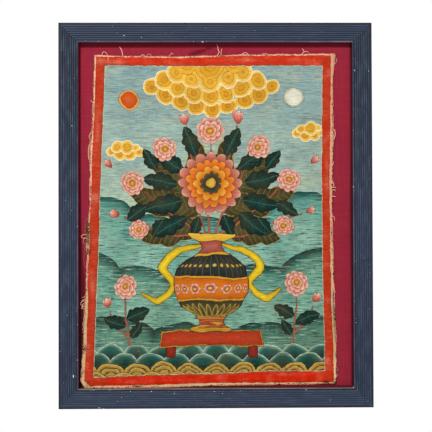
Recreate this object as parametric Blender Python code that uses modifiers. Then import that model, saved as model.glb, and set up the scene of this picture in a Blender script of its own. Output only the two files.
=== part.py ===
"""Painting on cotton cloth, laid on a cloth-covered mount in a reeded wooden frame.

The frame is four mitred lengths of one moulding. A flat mount covered in maroon cloth lies in the
rabbet behind the moulding's lip, and the painted cloth lies loose on the mount, inside the sight
opening, with its edges and corners a little lifted.

Units: the sizes are in millimetres and become metres where a mesh is made. +Z is up, the front faces
-Y, and the origin is on the middle of the top rail's flat back, where the frame meets the wall.
"""

import math

import bmesh
import bpy
from mathutils import Vector

MM = 0.001
COLLECTION_NAME = "framed_thangka_painting"

# Frame: outer size, and the moulding's section.
FRAME_WIDTH = 451.0
FRAME_HEIGHT = 553.6
FRAME_DEPTH = 26.0
RAIL_FACE = 28.4
LIP_WIDTH = 6.5
RABBET_DEPTH = 15.0
REED_COUNT = 8
REED_RELIEF = 1.0
REED_STEPS = 6
OUTER_BAND = 3.2
OUTER_CHAMFER = 0.6
PIECE_GAP = 0.3

# Mount: a thin flat panel, cloth included.
MOUNT_WIDTH = 406.0
MOUNT_HEIGHT = 509.0
MOUNT_THICKNESS = 2.6
MOUNT_EDGE_ROUND = 0.7

# Painted cloth: thickness, and the number of faces across and up.
CLOTH_THICKNESS = 1.2
CLOTH_FACES_ACROSS = 24
CLOTH_FACES_UP = 32

# Worked out: the rabbet's distance in from the outer edge, the mount's front above the frame's back,
# and the middle of the frame below the origin.
RABBET_SEAT = RAIL_FACE - LIP_WIDTH
MOUNT_FRONT = RABBET_DEPTH - PIECE_GAP
FRAME_MIDDLE_Z = RABBET_SEAT / 2 - FRAME_HEIGHT / 2

# Outline of the painted cloth; heights are measured up from the middle of the frame. Side edges:
# height, distance from the middle.
LEFT_EDGE = (
    (-248.2, -188.9),
    (-237.4, -194.9),
    (-194.4, -192.0),
    (-165.7, -191.0),
    (-122.6, -188.8),
    (-79.4, -186.6),
    (-36.2, -185.8),
    (7.0, -182.4),
    (93.6, -181.6),
    (129.7, -178.0),
    (165.9, -177.3),
    (231.0, -174.7),
)
RIGHT_EDGE = (
    (-243.3, 171.6),
    (-239.5, 172.8),
    (-210.7, 173.6),
    (-167.4, 172.9),
    (-124.1, 171.4),
    (-80.8, 170.4),
    (-30.2, 168.8),
    (20.5, 168.6),
    (60.0, 169.0),
    (121.9, 170.0),
    (151.0, 170.6),
    (201.8, 171.4),
    (233.8, 173.4),
)
# Top and bottom edges: distance from the middle, height.
TOP_EDGE = (
    (-174.7, 231.0),
    (-64.9, 229.0),
    (22.0, 231.2),
    (123.5, 232.6),
    (173.4, 233.8),
)
BOTTOM_EDGE = (
    (-188.9, -248.2),
    (-94.8, -248.0),
    (-45.0, -247.0),
    (-2.7, -245.8),
    (70.0, -244.9),
    (120.0, -243.9),
    (171.6, -243.3),
)

# Where the painted cloth stands off the mount: x, height, lift, reach along x, reach along the height.
LIFTED_PLACES = (
    (-186.0, 10.0, 2.0, 17.0, 95.0),  # middle of the left edge
    (-194.0, -165.0, 3.0, 16.0, 70.0),  # lower left edge
    (-193.0, -247.0, 3.2, 24.0, 20.0),  # lower left corner
    (173.0, -243.0, 1.8, 28.0, 24.0),  # lower right corner
    (171.0, 75.0, 1.2, 15.0, 80.0),  # right edge
    (-175.0, 231.0, 1.6, 26.0, 16.0),  # upper left corner
    (174.0, 234.0, 1.3, 22.0, 22.0),  # upper right corner
    (62.0, 232.0, 1.2, 60.0, 13.0),  # top edge
    (-40.0, -45.0, 0.9, 110.0, 60.0),  # slack across the middle
    (95.0, 150.0, 0.6, 70.0, 45.0),  # slack in the upper right
)


def painted(name, rgb, roughness):
    """Principled material of one plain colour."""
    material = bpy.data.materials.new(name)
    material.use_nodes = True
    shader = material.node_tree.nodes["Principled BSDF"]
    shader.inputs["Base Color"].default_value = (*rgb, 1.0)
    shader.inputs["Roughness"].default_value = roughness
    return material


def new_object(collection, name, bm, material):
    """Object in the collection from a bmesh that is already in metres."""
    mesh = bpy.data.meshes.new(name)
    bm.to_mesh(mesh)
    bm.free()
    mesh.materials.append(material)
    thing = bpy.data.objects.new(name, mesh)
    collection.objects.link(thing)
    return thing


def moulding_section():
    """Outline of the moulding as (distance in from the outer edge, height above the back).

    It runs up the outer side, over a chamfer and a smooth band, across half-round reeds, down the
    lip's inner wall, and back along the rabbet.
    """
    groove_level = FRAME_DEPTH - REED_RELIEF
    pitch = (RAIL_FACE - OUTER_BAND) / REED_COUNT
    outline = [
        (0.0, 0.0),
        (0.0, groove_level - OUTER_CHAMFER),
        (OUTER_CHAMFER, groove_level),
        (OUTER_BAND, groove_level),
    ]
    for reed in range(REED_COUNT):
        middle = OUTER_BAND + (reed + 0.5) * pitch
        for step in range(1, REED_STEPS + 1):
            angle = math.pi * (1 - step / REED_STEPS)
            across = middle + 0.5 * pitch * math.cos(angle)
            outline.append((across, groove_level + REED_RELIEF * math.sin(angle)))
    outline += [
        (RAIL_FACE, RABBET_DEPTH),
        (RABBET_SEAT, RABBET_DEPTH),
        (RABBET_SEAT, 0.0),
    ]
    return outline


def frame_rail(collection, name, length, place, turn, material):
    """Length of moulding with both ends cut to 45 degrees.

    It is modelled as a top rail: the section is extruded along X, and each end point is drawn in by
    its distance from the outer edge, less half the gap between the mitre faces. The object's turn
    about Y then makes it any of the four rails.
    """
    bm = bmesh.new()
    section = [bm.verts.new((0.0, -level, -across)) for across, level in moulding_section()]
    start_face = bm.faces.new(section)
    grown = bmesh.ops.extrude_face_region(bm, geom=[start_face])
    far_end = [item for item in grown["geom"] if isinstance(item, bmesh.types.BMVert)]
    cut_back = PIECE_GAP / 2 * math.sqrt(2)
    for vert in far_end:
        vert.co.x = length / 2 + vert.co.z - cut_back
    for vert in section:
        vert.co.x = -(length / 2 + vert.co.z - cut_back)
    bmesh.ops.recalc_face_normals(bm, faces=bm.faces)
    bmesh.ops.scale(bm, vec=Vector((MM, MM, MM)), verts=bm.verts)
    rail = new_object(collection, name, bm, material)
    rail.location = Vector(place) * MM
    rail.rotation_euler = (0.0, turn, 0.0)
    return rail


def mount_panel(collection, material):
    """Flat panel in the rabbet, just behind the lip, standing on the bottom rail's rabbet."""
    bm = bmesh.new()
    bmesh.ops.create_cube(bm, size=1.0)
    size = Vector((MOUNT_WIDTH, MOUNT_THICKNESS, MOUNT_HEIGHT)) * MM
    bmesh.ops.scale(bm, vec=size, verts=bm.verts)
    panel = new_object(collection, "mount_panel", bm, material)
    rabbet_floor = FRAME_MIDDLE_Z - FRAME_HEIGHT / 2 + RABBET_SEAT
    panel.location = (
        0.0,
        -(MOUNT_FRONT - MOUNT_THICKNESS / 2) * MM,
        (rabbet_floor + PIECE_GAP + MOUNT_HEIGHT / 2) * MM,
    )
    rounding = panel.modifiers.new("rounded edges", "BEVEL")
    rounding.width = MOUNT_EDGE_ROUND * MM
    rounding.segments = 2
    return panel


def along_edge(edge, part):
    """Point at a part, 0 to 1, of the span of a table's first column, as (first, second)."""
    first = edge[0][0] + part * (edge[-1][0] - edge[0][0])
    for (low, at_low), (high, at_high) in zip(edge, edge[1:]):
        if first <= high:
            return first, at_low + (at_high - at_low) * (first - low) / (high - low)
    return edge[-1]


def cloth_point(across, up):
    """Place on the cloth, (x, height), for two parts from 0 to 1.

    The four edges are blended: the two straight blends between facing edges are added, and the
    blend of the four corners is taken away.
    """
    left_height, left_x = along_edge(LEFT_EDGE, up)
    right_height, right_x = along_edge(RIGHT_EDGE, up)
    top_x, top_height = along_edge(TOP_EDGE, across)
    bottom_x, bottom_height = along_edge(BOTTOM_EDGE, across)
    sides_x = (1 - across) * left_x + across * right_x
    sides_height = (1 - across) * left_height + across * right_height
    ends_x = (1 - up) * bottom_x + up * top_x
    ends_height = (1 - up) * bottom_height + up * top_height
    low_x = (1 - across) * BOTTOM_EDGE[0][0] + across * BOTTOM_EDGE[-1][0]
    high_x = (1 - across) * TOP_EDGE[0][0] + across * TOP_EDGE[-1][0]
    low_height = (1 - across) * BOTTOM_EDGE[0][1] + across * BOTTOM_EDGE[-1][1]
    high_height = (1 - across) * TOP_EDGE[0][1] + across * TOP_EDGE[-1][1]
    corners_x = (1 - up) * low_x + up * high_x
    corners_height = (1 - up) * low_height + up * high_height
    return sides_x + ends_x - corners_x, sides_height + ends_height - corners_height


def cloth_lift(x, height):
    """How far the cloth stands off the mount: a sum of smooth round rises."""
    lift = 0.0
    for place_x, place_height, rise, reach_x, reach_height in LIFTED_PLACES:
        away = ((x - place_x) / reach_x) ** 2 + ((height - place_height) / reach_height) ** 2
        lift += rise * math.exp(-away)
    return lift


def painting_cloth(collection, material):
    """Sheet laid on the mount: a grid bent to the outline, then given its thickness forwards."""
    bm = bmesh.new()
    bmesh.ops.create_grid(
        bm, x_segments=CLOTH_FACES_ACROSS, y_segments=CLOTH_FACES_UP, size=0.5
    )
    back_level = MOUNT_FRONT + PIECE_GAP
    for vert in bm.verts:
        x, height = cloth_point(vert.co.x + 0.5, vert.co.y + 0.5)
        level = back_level + cloth_lift(x, height)
        vert.co = Vector((x, -level, FRAME_MIDDLE_Z + height)) * MM
    cloth = new_object(collection, "painting_cloth", bm, material)
    thickness = cloth.modifiers.new("cloth thickness", "SOLIDIFY")
    thickness.thickness = CLOTH_THICKNESS * MM
    thickness.offset = 1.0
    return cloth


def build():
    for old in list(bpy.data.objects):
        bpy.data.objects.remove(old)
    collection = bpy.data.collections.new(COLLECTION_NAME)
    bpy.context.scene.collection.children.link(collection)

    slate_paint = painted("slate blue paint on wood", (0.042, 0.058, 0.094), 0.45)
    maroon_cotton = painted("maroon cotton", (0.31, 0.020, 0.037), 0.9)
    primed_cotton = painted("primed and painted cotton", (0.30, 0.42, 0.38), 0.75)

    top_edge = FRAME_MIDDLE_Z + FRAME_HEIGHT / 2
    bottom_edge = FRAME_MIDDLE_Z - FRAME_HEIGHT / 2
    rails = (
        ("frame_rail_top", FRAME_WIDTH, (0.0, 0.0, top_edge), 0.0),
        ("frame_rail_bottom", FRAME_WIDTH, (0.0, 0.0, bottom_edge), math.pi),
        ("frame_stile_left", FRAME_HEIGHT, (-FRAME_WIDTH / 2, 0.0, FRAME_MIDDLE_Z), -math.pi / 2),
        ("frame_stile_right", FRAME_HEIGHT, (FRAME_WIDTH / 2, 0.0, FRAME_MIDDLE_Z), math.pi / 2),
    )
    for name, length, place, turn in rails:
        frame_rail(collection, name, length, place, turn, slate_paint)
    mount_panel(collection, maroon_cotton)
    painting_cloth(collection, primed_cotton)


build()
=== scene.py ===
"""Looks of a painting on cotton cloth in a reeded wooden frame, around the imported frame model.

The four rails get a finer moulding with worn slate paint. The mount becomes a board under maroon
cotton. The painted cloth becomes a thin sheet on the same outline and rises, with a red border band,
a hand-painted picture of a flower vase, raw edges, and threads that have come loose from them.

Units: tables are in millimetres, with x and height measured from the middle of the frame, and meshes
and settings are in metres. +Z is up, the front faces -Y, and the frame's back lies on y = 0.
"""

import math
from functools import partial

import bpy
import numpy as np
from bpy.props import FloatProperty, FloatVectorProperty, IntProperty, PointerProperty
from mathutils import Matrix, Vector


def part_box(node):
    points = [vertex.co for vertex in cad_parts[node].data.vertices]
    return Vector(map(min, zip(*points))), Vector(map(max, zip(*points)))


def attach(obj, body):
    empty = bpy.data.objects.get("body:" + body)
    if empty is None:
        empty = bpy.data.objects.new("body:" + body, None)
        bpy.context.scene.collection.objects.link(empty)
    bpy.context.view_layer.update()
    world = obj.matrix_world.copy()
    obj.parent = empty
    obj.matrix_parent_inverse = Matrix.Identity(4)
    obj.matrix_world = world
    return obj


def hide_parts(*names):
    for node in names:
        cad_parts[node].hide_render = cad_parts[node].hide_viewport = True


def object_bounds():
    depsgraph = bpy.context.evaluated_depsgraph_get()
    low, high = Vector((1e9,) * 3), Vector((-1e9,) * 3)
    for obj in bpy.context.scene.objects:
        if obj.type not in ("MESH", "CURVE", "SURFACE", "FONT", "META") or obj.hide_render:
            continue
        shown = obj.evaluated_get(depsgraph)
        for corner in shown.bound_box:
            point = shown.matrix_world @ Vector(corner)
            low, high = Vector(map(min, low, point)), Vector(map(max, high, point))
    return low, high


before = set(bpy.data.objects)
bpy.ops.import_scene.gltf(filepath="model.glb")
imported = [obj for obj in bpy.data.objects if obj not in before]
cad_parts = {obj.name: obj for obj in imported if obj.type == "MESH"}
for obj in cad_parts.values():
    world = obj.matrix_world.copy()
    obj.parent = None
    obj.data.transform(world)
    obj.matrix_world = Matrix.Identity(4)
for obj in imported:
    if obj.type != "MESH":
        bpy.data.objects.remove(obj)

bl_info = {
    "name": "Framed painting on cotton",
    "version": (1, 0, 0),
    "blender": (4, 5, 0),
    "location": "View3D > Sidebar > Framed painting",
    "description": "Mouldings, mount, painted cloth and loose threads of a framed painting",
    "category": "Add Mesh",
}

MM = 0.001
BODY = "root"

# Sizes that the frame model fixes, in millimetres.
FRAME_LOW, FRAME_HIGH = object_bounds()
MIDDLE_Z = (FRAME_LOW.z + FRAME_HIGH.z) / 2
FRAME_WIDTH = (FRAME_HIGH.x - FRAME_LOW.x) / MM
FRAME_HEIGHT = (FRAME_HIGH.z - FRAME_LOW.z) / MM
FRAME_DEPTH = (FRAME_HIGH.y - FRAME_LOW.y) / MM
TOP_RAIL_LOW, TOP_RAIL_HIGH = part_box("frame_rail_top")
RAIL_FACE = (TOP_RAIL_HIGH.z - TOP_RAIL_LOW.z) / MM
MOUNT_LOW, MOUNT_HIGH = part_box("mount_panel")
MOUNT_FRONT = -MOUNT_LOW.y / MM
MOUNT_BACK = -MOUNT_HIGH.y / MM

# Outline of the painted cloth. Side edges: height, x. Top and bottom edges: x, height.
LEFT_EDGE = (
    (-248.2, -188.9), (-237.4, -194.9), (-194.4, -192), (-168, -191.1), (-146, -189.5), (-128, -189.2),
    (-112, -187), (-79.4, -185.2), (-60, -184.8), (-50, -186.6), (-38, -187.6), (-26, -186.8),
    (-14, -184.7), (-2, -183.6), (10, -182), (20, -181.5), (41, -181.3), (62, -181.3), (84, -181.7),
    (93.6, -181.6), (106, -180.4), (127, -178), (150, -177.2), (170, -176.6), (196, -176.1), (214, -175.1),
    (231, -174.7),
)
RIGHT_EDGE = (
    (-243.3, 171.6), (-239.5, 172.8), (-210.7, 173.6), (-167.4, 172.9), (-124.1, 171.2), (-103, 170),
    (-80.8, 170.1), (-50, 169), (-30.2, 168.3), (-15, 168), (5, 168.1), (20.5, 168.6), (60, 169.2),
    (85, 170.1), (112, 170.4), (130, 170), (145, 169.7), (180, 170), (198, 170.4), (213, 171.6),
    (233.8, 173.4),
)
TOP_EDGE = ((-174.7, 231), (-64.9, 229), (22, 231.2), (123.5, 232.6), (173.4, 233.8))
BOTTOM_EDGE = (
    (-188.9, -248.2), (-94.8, -248), (-45, -247), (-2.7, -245.8), (70, -244.9), (120, -243.9),
    (171.6, -243.3),
)

# Where the cloth stands off the mount: x, height, lift, reach along x, reach along the height.
LIFTED_PLACES = (
    (-186, 10, 2, 17, 95),  # middle of the left edge
    (-194, -165, 3, 16, 70),  # lower left edge
    (-193, -247, 3.2, 24, 20),  # lower left corner
    (173, -243, 1.8, 28, 24),  # lower right corner
    (171, 75, 1.2, 15, 80),  # right edge
    (-175, 231, 1.6, 26, 16),  # upper left corner
    (174, 234, 1.3, 22, 22),  # upper right corner
    (62, 232, 1.2, 60, 13),  # top edge
    (-40, -45, 0.9, 110, 60),  # slack across the middle
    (95, 150, 0.6, 70, 45),  # slack in the upper right
)

# Red border band. Sides: height, outer x, inner x. Ends: x, outer height, inner height.
BAND_LEFT = (
    (-244.6, -189.8, -176.6), (-215, -188.5, -176), (-190, -186.7, -175.2), (-168, -185.8, -174.4),
    (-146, -184.9, -173.4), (-122.6, -184.5, -172.4), (-95, -184.6, -171.2), (-65, -183.2, -169.8),
    (-46, -182.3, -169), (-29, -181.3, -168.4), (-13, -181.9, -168), (3, -181, -167.7),
    (20, -179.9, -167.3), (41, -179.1, -166.5), (62, -178.4, -165.7), (84, -178.7, -164.9),
    (106, -177.1, -164.1), (127, -176.2, -163.3), (150, -174.7, -162.1), (170, -173.9, -161.1),
    (196, -173.5, -160.5), (214, -172.4, -160), (227.1, -172.2, -159.6),
)
BAND_RIGHT = (
    (-240.8, 169.4, 157.3), (-190, 169.2, 156.8), (-160, 168, 156), (-132, 166.7, 155.3),
    (-80.7, 166, 154.3), (0, 165, 154), (63.9, 164.6, 153.6), (165.5, 166.8, 154.9), (229.4, 167.4, 155.4),
)
BAND_TOP = (
    (-171.8, 229, 216.4), (-140, 229.1, 216.4), (-100, 228.5, 216), (-64.9, 227.3, 215.9),
    (-40, 227.7, 215.7), (1.7, 229.2, 215.6), (22, 230.1, 215.7), (80, 230.8, 216.1), (167.1, 231.3, 216.3),
)
BAND_BOTTOM = (
    (-175.2, -245.4, -233.2), (-140, -244.9, -231.6), (-94.8, -244.4, -230.3), (-53, -243.2, -229.4),
    (-2.7, -242.1, -229), (48, -242.2, -226.4), (78.1, -242.2, -225.2), (120, -241.8, -225.4),
    (169.1, -241.5, -226.1),
)
CLOTH_EDGES = (LEFT_EDGE, RIGHT_EDGE, BOTTOM_EDGE, TOP_EDGE)
BAND_EDGES = (BAND_LEFT, BAND_RIGHT, BAND_BOTTOM, BAND_TOP)
# Width of the unpainted line between band and picture, and a point and the direction across the line
# that cuts off the band's lower left corner with the cloth's.
UNPAINTED_LINE = 0.5
BAND_CORNER = (-189.8, -237.6)
INTO_BAND = (0.64, 0.77)

# Stains and rubbed places: x, height, strength, reach along x, reach along the height.
STAINS = (
    (-113.5, -246.4, 1.6, 7, 1.7), (-126, -246.5, 0.7, 3, 1), (121.5, -243.2, 1.3, 5.5, 1.7),
    (158, -241.6, 1.2, 5, 2.4), (-190.6, -191.5, 1.4, 3.4, 5.5), (-183.5, -240, 0.9, 2, 2),
    (-185, -244.5, 0.9, 1.4, 2.2), (-187, -247.5, 0.7, 1.2, 1.4), (-184, -236.5, 0.6, 2.2, 1.2),
    (-191.5, -225, 0.5, 2.2, 4), (-182.4, 86, 0.8, 2.4, 11), (-184.6, -52, 1.5, 3.4, 4),
    (-187.4, -30, 0.9, 1.2, 7), (-185.2, -26, 0.95, 3.4, 22), (-185.8, -7, 1.1, 1.4, 4.5),
    (-183.2, -31, 1.2, 1.5, 10), (-184.6, -12, 1.2, 1.8, 7), (-187.5, -75, 0.5, 1.5, 5),
    (-188, -95, 0.5, 1.4, 6), (-189.5, -128, 0.6, 1.6, 8), (-192, -160, 0.5, 1.4, 7),
    (169.8, 40, 0.6, 1.4, 5), (168.9, 9, 0.6, 1.2, 4), (168, -2, 0.5, 1, 6), (171, -52, 0.4, 1.2, 8),
    (170, -118, 1, 1.4, 9), (170.4, -137, 1.2, 1.6, 14), (171.2, -160, 1, 1.4, 14),
    (172.4, -180, 0.6, 1.3, 8), (171.5, -205, 0.5, 1, 7), (171.6, -238.5, 0.8, 2.4, 3.2),
    (169, -243, 0.6, 4, 1.5), (-173.6, 186, 0.4, 1.3, 10), (-176.4, 148, 0.5, 1.4, 8),
    (-180.5, 120, 0.6, 1.4, 9), (171.4, 206, 0.5, 1.2, 9), (171, 186, 0.4, 1, 7), (66, -244.2, 0.5, 5, 0.9),
    (16, -245.3, 0.4, 12, 0.7), (92, -244.1, 0.4, 9, 0.7),
)
WORN_PLACES = (
    (-150, 221, 1, 18, 3.4), (-166, 224, 0.5, 5, 3), (-60, 218.5, 0.4, 10, 2), (150, 218, 0.5, 8, 2.6),
    (40, 224, 0.4, 22, 2), (-175.5, 24, 0.8, 7, 6.5), (-170, 120, 0.5, 3, 22), (161, 60, 0.4, 2.4, 26),
    (-178, -100, 0.4, 3, 20), (160, -212, 0.7, 4, 9), (100, -230, 0.5, 16, 2), (-120, -240, 0.4, 14, 1.8),
)

# Threads that hang out of the raw edges: relative thickness, tone, then (x, height) from root to tip.
LOOSE_THREADS = (
    (1, 0.9, (-163.8, 229.5), (-162.9, 235), (-160.1, 236.2), (-156.8, 233.4), (-155, 228.5),
     (-154.6, 221.5)),
    (1.2, 1, (-133.5, 229.4), (-134.9, 236.7), (-136.3, 240.3), (-138.8, 243.9)),
    (0.8, 0.7, (-100, 229.5), (-97, 233), (-93.5, 232), (-92, 229)),
    (0.9, 0.9, (-108, 229.6), (-105.5, 232.2), (-103, 231.5), (-102.4, 229.2)),
    (0.9, 0.9, (-67.7, 229.4), (-64.8, 232.3), (-62.7, 234.5), (-60.5, 232.3)),
    (1.2, 1, (2.1, 230.1), (5.5, 235.2), (4.6, 238.1), (2.5, 248.3)),
    (1.1, 0.9, (8.2, 231), (8.6, 236), (9.8, 241)),
    (1.2, 0.9, (37.9, 230.4), (40.2, 233.8), (43.7, 234.9), (46.6, 233.8), (49.5, 230.4)),
    (0.9, 0.8, (66, 231.2), (70, 233.8), (74.5, 233.6), (79, 231.6)),
    (1.1, 1, (123.4, 231.1), (130, 236.6), (135.8, 235.6)),
    (1.1, 0.9, (128.6, 235.4), (127.6, 238.6), (126, 241.2)),
    (1, 0.75, (-175.4, 161.4), (-179, 164.3), (-180.4, 167.2)),
    (1.1, 0.8, (-177.6, 121), (-181.9, 116.6), (-182.2, 112.3), (-179, 108)),
    (1.2, 0.8, (-177.6, 105.1), (-182.4, 101.3), (-183.6, 93.5), (-183.2, 82), (-179.7, 79.1)),
    (1, 0.9, (-185, -27), (-192.8, -28.6), (-193.6, -31.2), (-190.6, -33), (-185, -33.5)),
    (0.6, 0.4, (-184, -4), (-187.6, -8), (-188.4, -15), (-187, -26)),
    (0.6, 0.25, (-184.6, -10), (-188, -18), (-190, -26), (-187, -34)),
    (0.6, 0.35, (-185.4, -34), (-189, -40), (-189.4, -48), (-187.6, -58)),
    (0.7, 0.3, (-185.6, -55), (-189.4, -58), (-190.4, -65), (-189, -73), (-185.4, -76)),
    (0.7, 0.8, (-186.6, -31), (-190.8, -35.6), (-190.6, -41)),
    (0.9, 0.8, (-187, -114), (-190, -117.6), (-193.6, -118.6)),
    (0.9, 0.9, (-187.4, -119.6), (-191.4, -121.6), (-194.6, -124.6)),
    (1, 0.9, (-187.8, -123), (-192, -123.4), (-195.2, -127.4), (-193, -130)),
    (0.9, 0.9, (-188, -127), (-191, -129.6), (-194, -131.6)),
    (1, 1, (-188.4, -131), (-192.4, -132), (-194.4, -134.8)),
    (0.9, 0.9, (-188.4, -135), (-191.6, -134.4), (-192.8, -129.6), (-190, -126)),
    (0.9, 0.8, (-188, -187.1), (-191.9, -192.9), (-188, -199.2)),
    (1.1, 0.6, (170.9, 227.9), (175.4, 226.4), (176, 222), (171.8, 216.2)),
    (1.4, 0.85, (169.5, 124), (172.4, 122.6), (173.4, 117), (172, 110.6), (168.5, 107.2)),
    (1.1, 0.8, (167.4, 78.4), (170.6, 75.5), (168.1, 69.7)),
    (1.2, 1, (168, 49.4), (171, 43.6), (168.5, 39.3)),
    (1.2, 1, (167.2, 38.5), (171.2, 39.6), (174.6, 39.2)),
    (1.1, 1, (168.2, 34.9), (172, 36.3), (173.3, 33.5)),
    (1.2, 1, (167.2, 25.8), (170.2, 26.6), (173.8, 25.8)),
    (0.9, 0.9, (168.2, -2), (171.6, -4), (171.8, -9)),
    (0.7, 0.6, (169.4, -110), (172.6, -111), (172.8, -114)),
    (0.8, 0.5, (171.6, -219), (174.6, -221), (175.4, -225), (173, -227.6)),
    (0.8, 0.7, (172, -229), (174.6, -231), (174.4, -234.6)),
)

# Rails: name, node, turn in degrees; three rows of values towards one end, in the middle and towards
# the other end, for the paint's brightness, which is painted light and shade, the lip's wear, heaviest on
# the bottom rail where it also paints the light on its lip, and the inner wall's brightness, also painted
# light and shade; how red the wall is; how sharp the crests look, which also sets the painted highlight
# that makes them lighter than the grooves; how far in from the lip's corner its rubbed line lies; and
# patches of painted shade in the grooves (below nil) or of wear and painted highlight (above nil), with
# distance in from the corner, amount and reach.
RAILS = (
    ("reeded_rail_top", "frame_rail_top", 0,
     (0.98, 1.03, 1.08), (0.75, 0.4, 1.4), (0.9, 0.9, 0.9), 1, 4.2, 0.45, ((3.15, -0.9, 0.5),)),
    ("reeded_rail_bottom", "frame_rail_bottom", 180,
     (1.07, 1, 1.02), (2, 2.6, 2.4), (0.7, 0.9, 1.8), 0, 1.3, 0.15, ((3, 0.9, 0.5), (1.75, -2.6, 0.75))),
    ("reeded_stile_left", "frame_stile_left", -90,
     (0.82, 0.88, 0.56), (0.25, 0.75, 0), (1.3, 1.5, 1.8), 1, 0.7, 1.15, ((3.15, -1.1, 0.5),)),
    ("reeded_stile_right", "frame_stile_right", 90,
     (0.62, 0.93, 0.86), (0, 0.65, 0.4), (0.4, 0.22, 0.18), 1, 0.7, 0.8, ((3.15, -1.1, 0.5),)),
)

# Chips in the frame's paint: x, height, length, width.
PAINT_CHIPS = (
    (-131.2, 258.1, 2.2, 1.2), (-106.4, 255.2, 1.8, 1), (-18.5, 248.9, 3.8, 1.3), (-31.5, 249.2, 1.2, 0.8),
    (-12.8, 249.2, 1, 0.8), (-206, 128.3, 1, 1.8), (-204.2, -229.4, 2.4, 6.6), (-198.6, -206.7, 1, 1.8),
    (-198.2, -16, 0.9, 2), (-213, -143.1, 1, 1.4), (-198.2, -156.1, 0.9, 1.6), (200.3, 207.5, 1.2, 2.4),
    (220.6, 206.7, 1.2, 2), (-135.7, -260.4, 2, 1), (-141.4, -266.1, 1.4, 0.9), (-92.9, -252.1, 2.4, 1.1),
    (-60, -255.2, 1.6, 0.8), (-3.3, -252.7, 2, 0.9), (8.6, -255.6, 1.3, 0.8), (128.4, -250.6, 2.4, 1),
    (162.8, -265.8, 1.6, 0.9), (-167.7, -275.2, 5.4, 1.2), (-161, -275.8, 2.6, 0.9),
    (221, -272.4, 1.1, 0.6), (223.2, -274.2, 0.9, 0.8), (196.4, -247.6, 1.6, 1.2),
    (-151.8, -249.6, 1.8, 0.9), (217, -268, 1.2, 0.5), (197.9, 40, 0.9, 3), (-175, -249.4, 2, 0.8),
)
# Rings of a chip from its middle outwards: reach as a part of its size, and level above the paint.
CHIP_REACH = (0.06, 0.55, 1.0)
CHIP_RISE = (0.06, 0.04, -0.25)
CHIP_SIDES = 12
SPECK_COUNT = 90

# Creases in the maroon cotton: the line of each, and its half widths.
CREASES = (
    (((-37, 233.4), (-28.5, 235.3), (-16, 238.8)), (0.8, 2.2, 1.3)),
    (((-13, 241.6), (-6, 241.4)), (0.8, 0.8)),
)

# The picture is a plain flower vase before hills, drawn from the formulas below. Centre line, then its
# motifs. Discs: x, height, radius.
CENTRE_X = -7.0
DISC_GROUPS = {
    "far_hills": (
        (-168, -38, 66), (-98, -70, 72), (-20, -60, 60), (52, -66, 70), (128, -34, 68), (190, -60, 66),
    ),
    "middle_hills": (
        (-190, -112, 62), (-118, -148, 76), (-30, -150, 66), (64, -150, 78), (150, -118, 70),
    ),
    "near_hills": ((-150, -236, 92), (-44, -252, 96), (70, -246, 92), (160, -232, 88)),
    "sun": ((-126, 166, 14),),
    "moon": ((114, 170, 14),),
    "low_clouds": (
        (-92, 186, 13), (-72, 174, 14), (-50, 165, 13), (-28, 158, 14), (-4, 153, 14), (20, 158, 14),
        (42, 166, 13), (62, 175, 14), (82, 186, 12), (-150, 92, 8), (-138, 88, 9), (-124, 88, 9),
        (-111, 91, 7), (118, 118, 8), (130, 114, 9), (143, 116, 8), (152, 120, 5),
    ),
    "middle_clouds": (
        (-74, 195, 15), (-54, 184, 14), (-32, 176, 14), (-8, 172, 15), (16, 177, 14), (38, 185, 14),
        (60, 195, 14), (-142, 98, 9), (-128, 98, 10), (-115, 98, 6), (124, 124, 8), (137, 124, 10),
        (148, 126, 5),
    ),
    "high_clouds": (
        (-56, 206, 15), (-34, 197, 14), (-8, 193, 16), (18, 198, 14), (40, 207, 14), (-8, 215, 26),
        (-40, 218, 20), (26, 218, 20),
    ),
}
# Round flowers: x, height, turn in degrees, size. Rings of a flower: name, radius as a part of the size,
# petals, first petal's direction, dent between petals as a part of the size.
BLOOMS = (
    (-7, 122, 0, 42), (-74, 96, 12, 37), (62, 98, -14, 37), (-120, 46, 22, 35), (106, 50, -20, 35),
    (-112, -20, 8, 31), (98, -16, -8, 31), (-130, -104, 15, 37), (116, -98, -15, 37),
)
BLOOM_RINGS = (
    ("bloom_outer", 0.5, 9, 0, 0.11), ("bloom_middle", 0.37, 8, 20, 0.09),
    ("bloom_inner", 0.24, 6, 8, 0.06), ("bloom_heart", 0.1, 5, 0, 0.02),
)
# Buds: x, height, direction in degrees, size. Their petals: turns, length and half width as parts of it.
BUDS = (
    (-43, 130, 105, 20), (31, 132, 76, 20), (-140, 0, 165, 15), (130, 4, 15, 15), (-154, -134, 112, 17),
    (142, -128, 68, 17), (-150, 70, 140, 15), (138, 74, 40, 15),
)
BUD_PETALS = (("bud_back", (-17, 17), 0.95, 0.2), ("bud_front", (0,), 1.0, 0.22))
# Leaves: x, height, direction in degrees, length, half width.
BACK_LEAVES = (
    (-12, 26, 104, 92, 20), (-2, 26, 76, 92, 20), (-20, 14, 136, 104, 24), (6, 14, 44, 104, 24),
    (-24, 4, 164, 108, 24), (10, 4, 16, 108, 24), (-22, -12, 196, 90, 21), (8, -12, -16, 90, 21),
)
LEAVES = (
    (-28, 86, 114, 46, 13), (14, 86, 66, 46, 13), (-46, 64, 148, 50, 14), (34, 66, 34, 50, 14),
    (-54, 44, 170, 54, 14), (42, 46, 12, 54, 14), (-50, 20, 192, 56, 15), (38, 22, -10, 56, 15),
    (-44, -2, 214, 52, 14), (32, 0, -34, 52, 14), (-86, 66, 124, 34, 10), (74, 68, 54, 34, 10),
    (-24, -2, 250, 30, 10), (12, -2, -68, 30, 10), (-100, 14, 214, 36, 11), (88, 18, -30, 36, 11),
    (-74, -8, 236, 30, 10), (62, -4, -52, 30, 10), (-127, -150, 28, 34, 11), (-130, -160, 158, 36, 11),
    (113, -146, 152, 34, 11), (116, -156, 20, 36, 11), (-122, -176, 60, 26, 8), (108, -174, 118, 26, 8),
)
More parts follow.
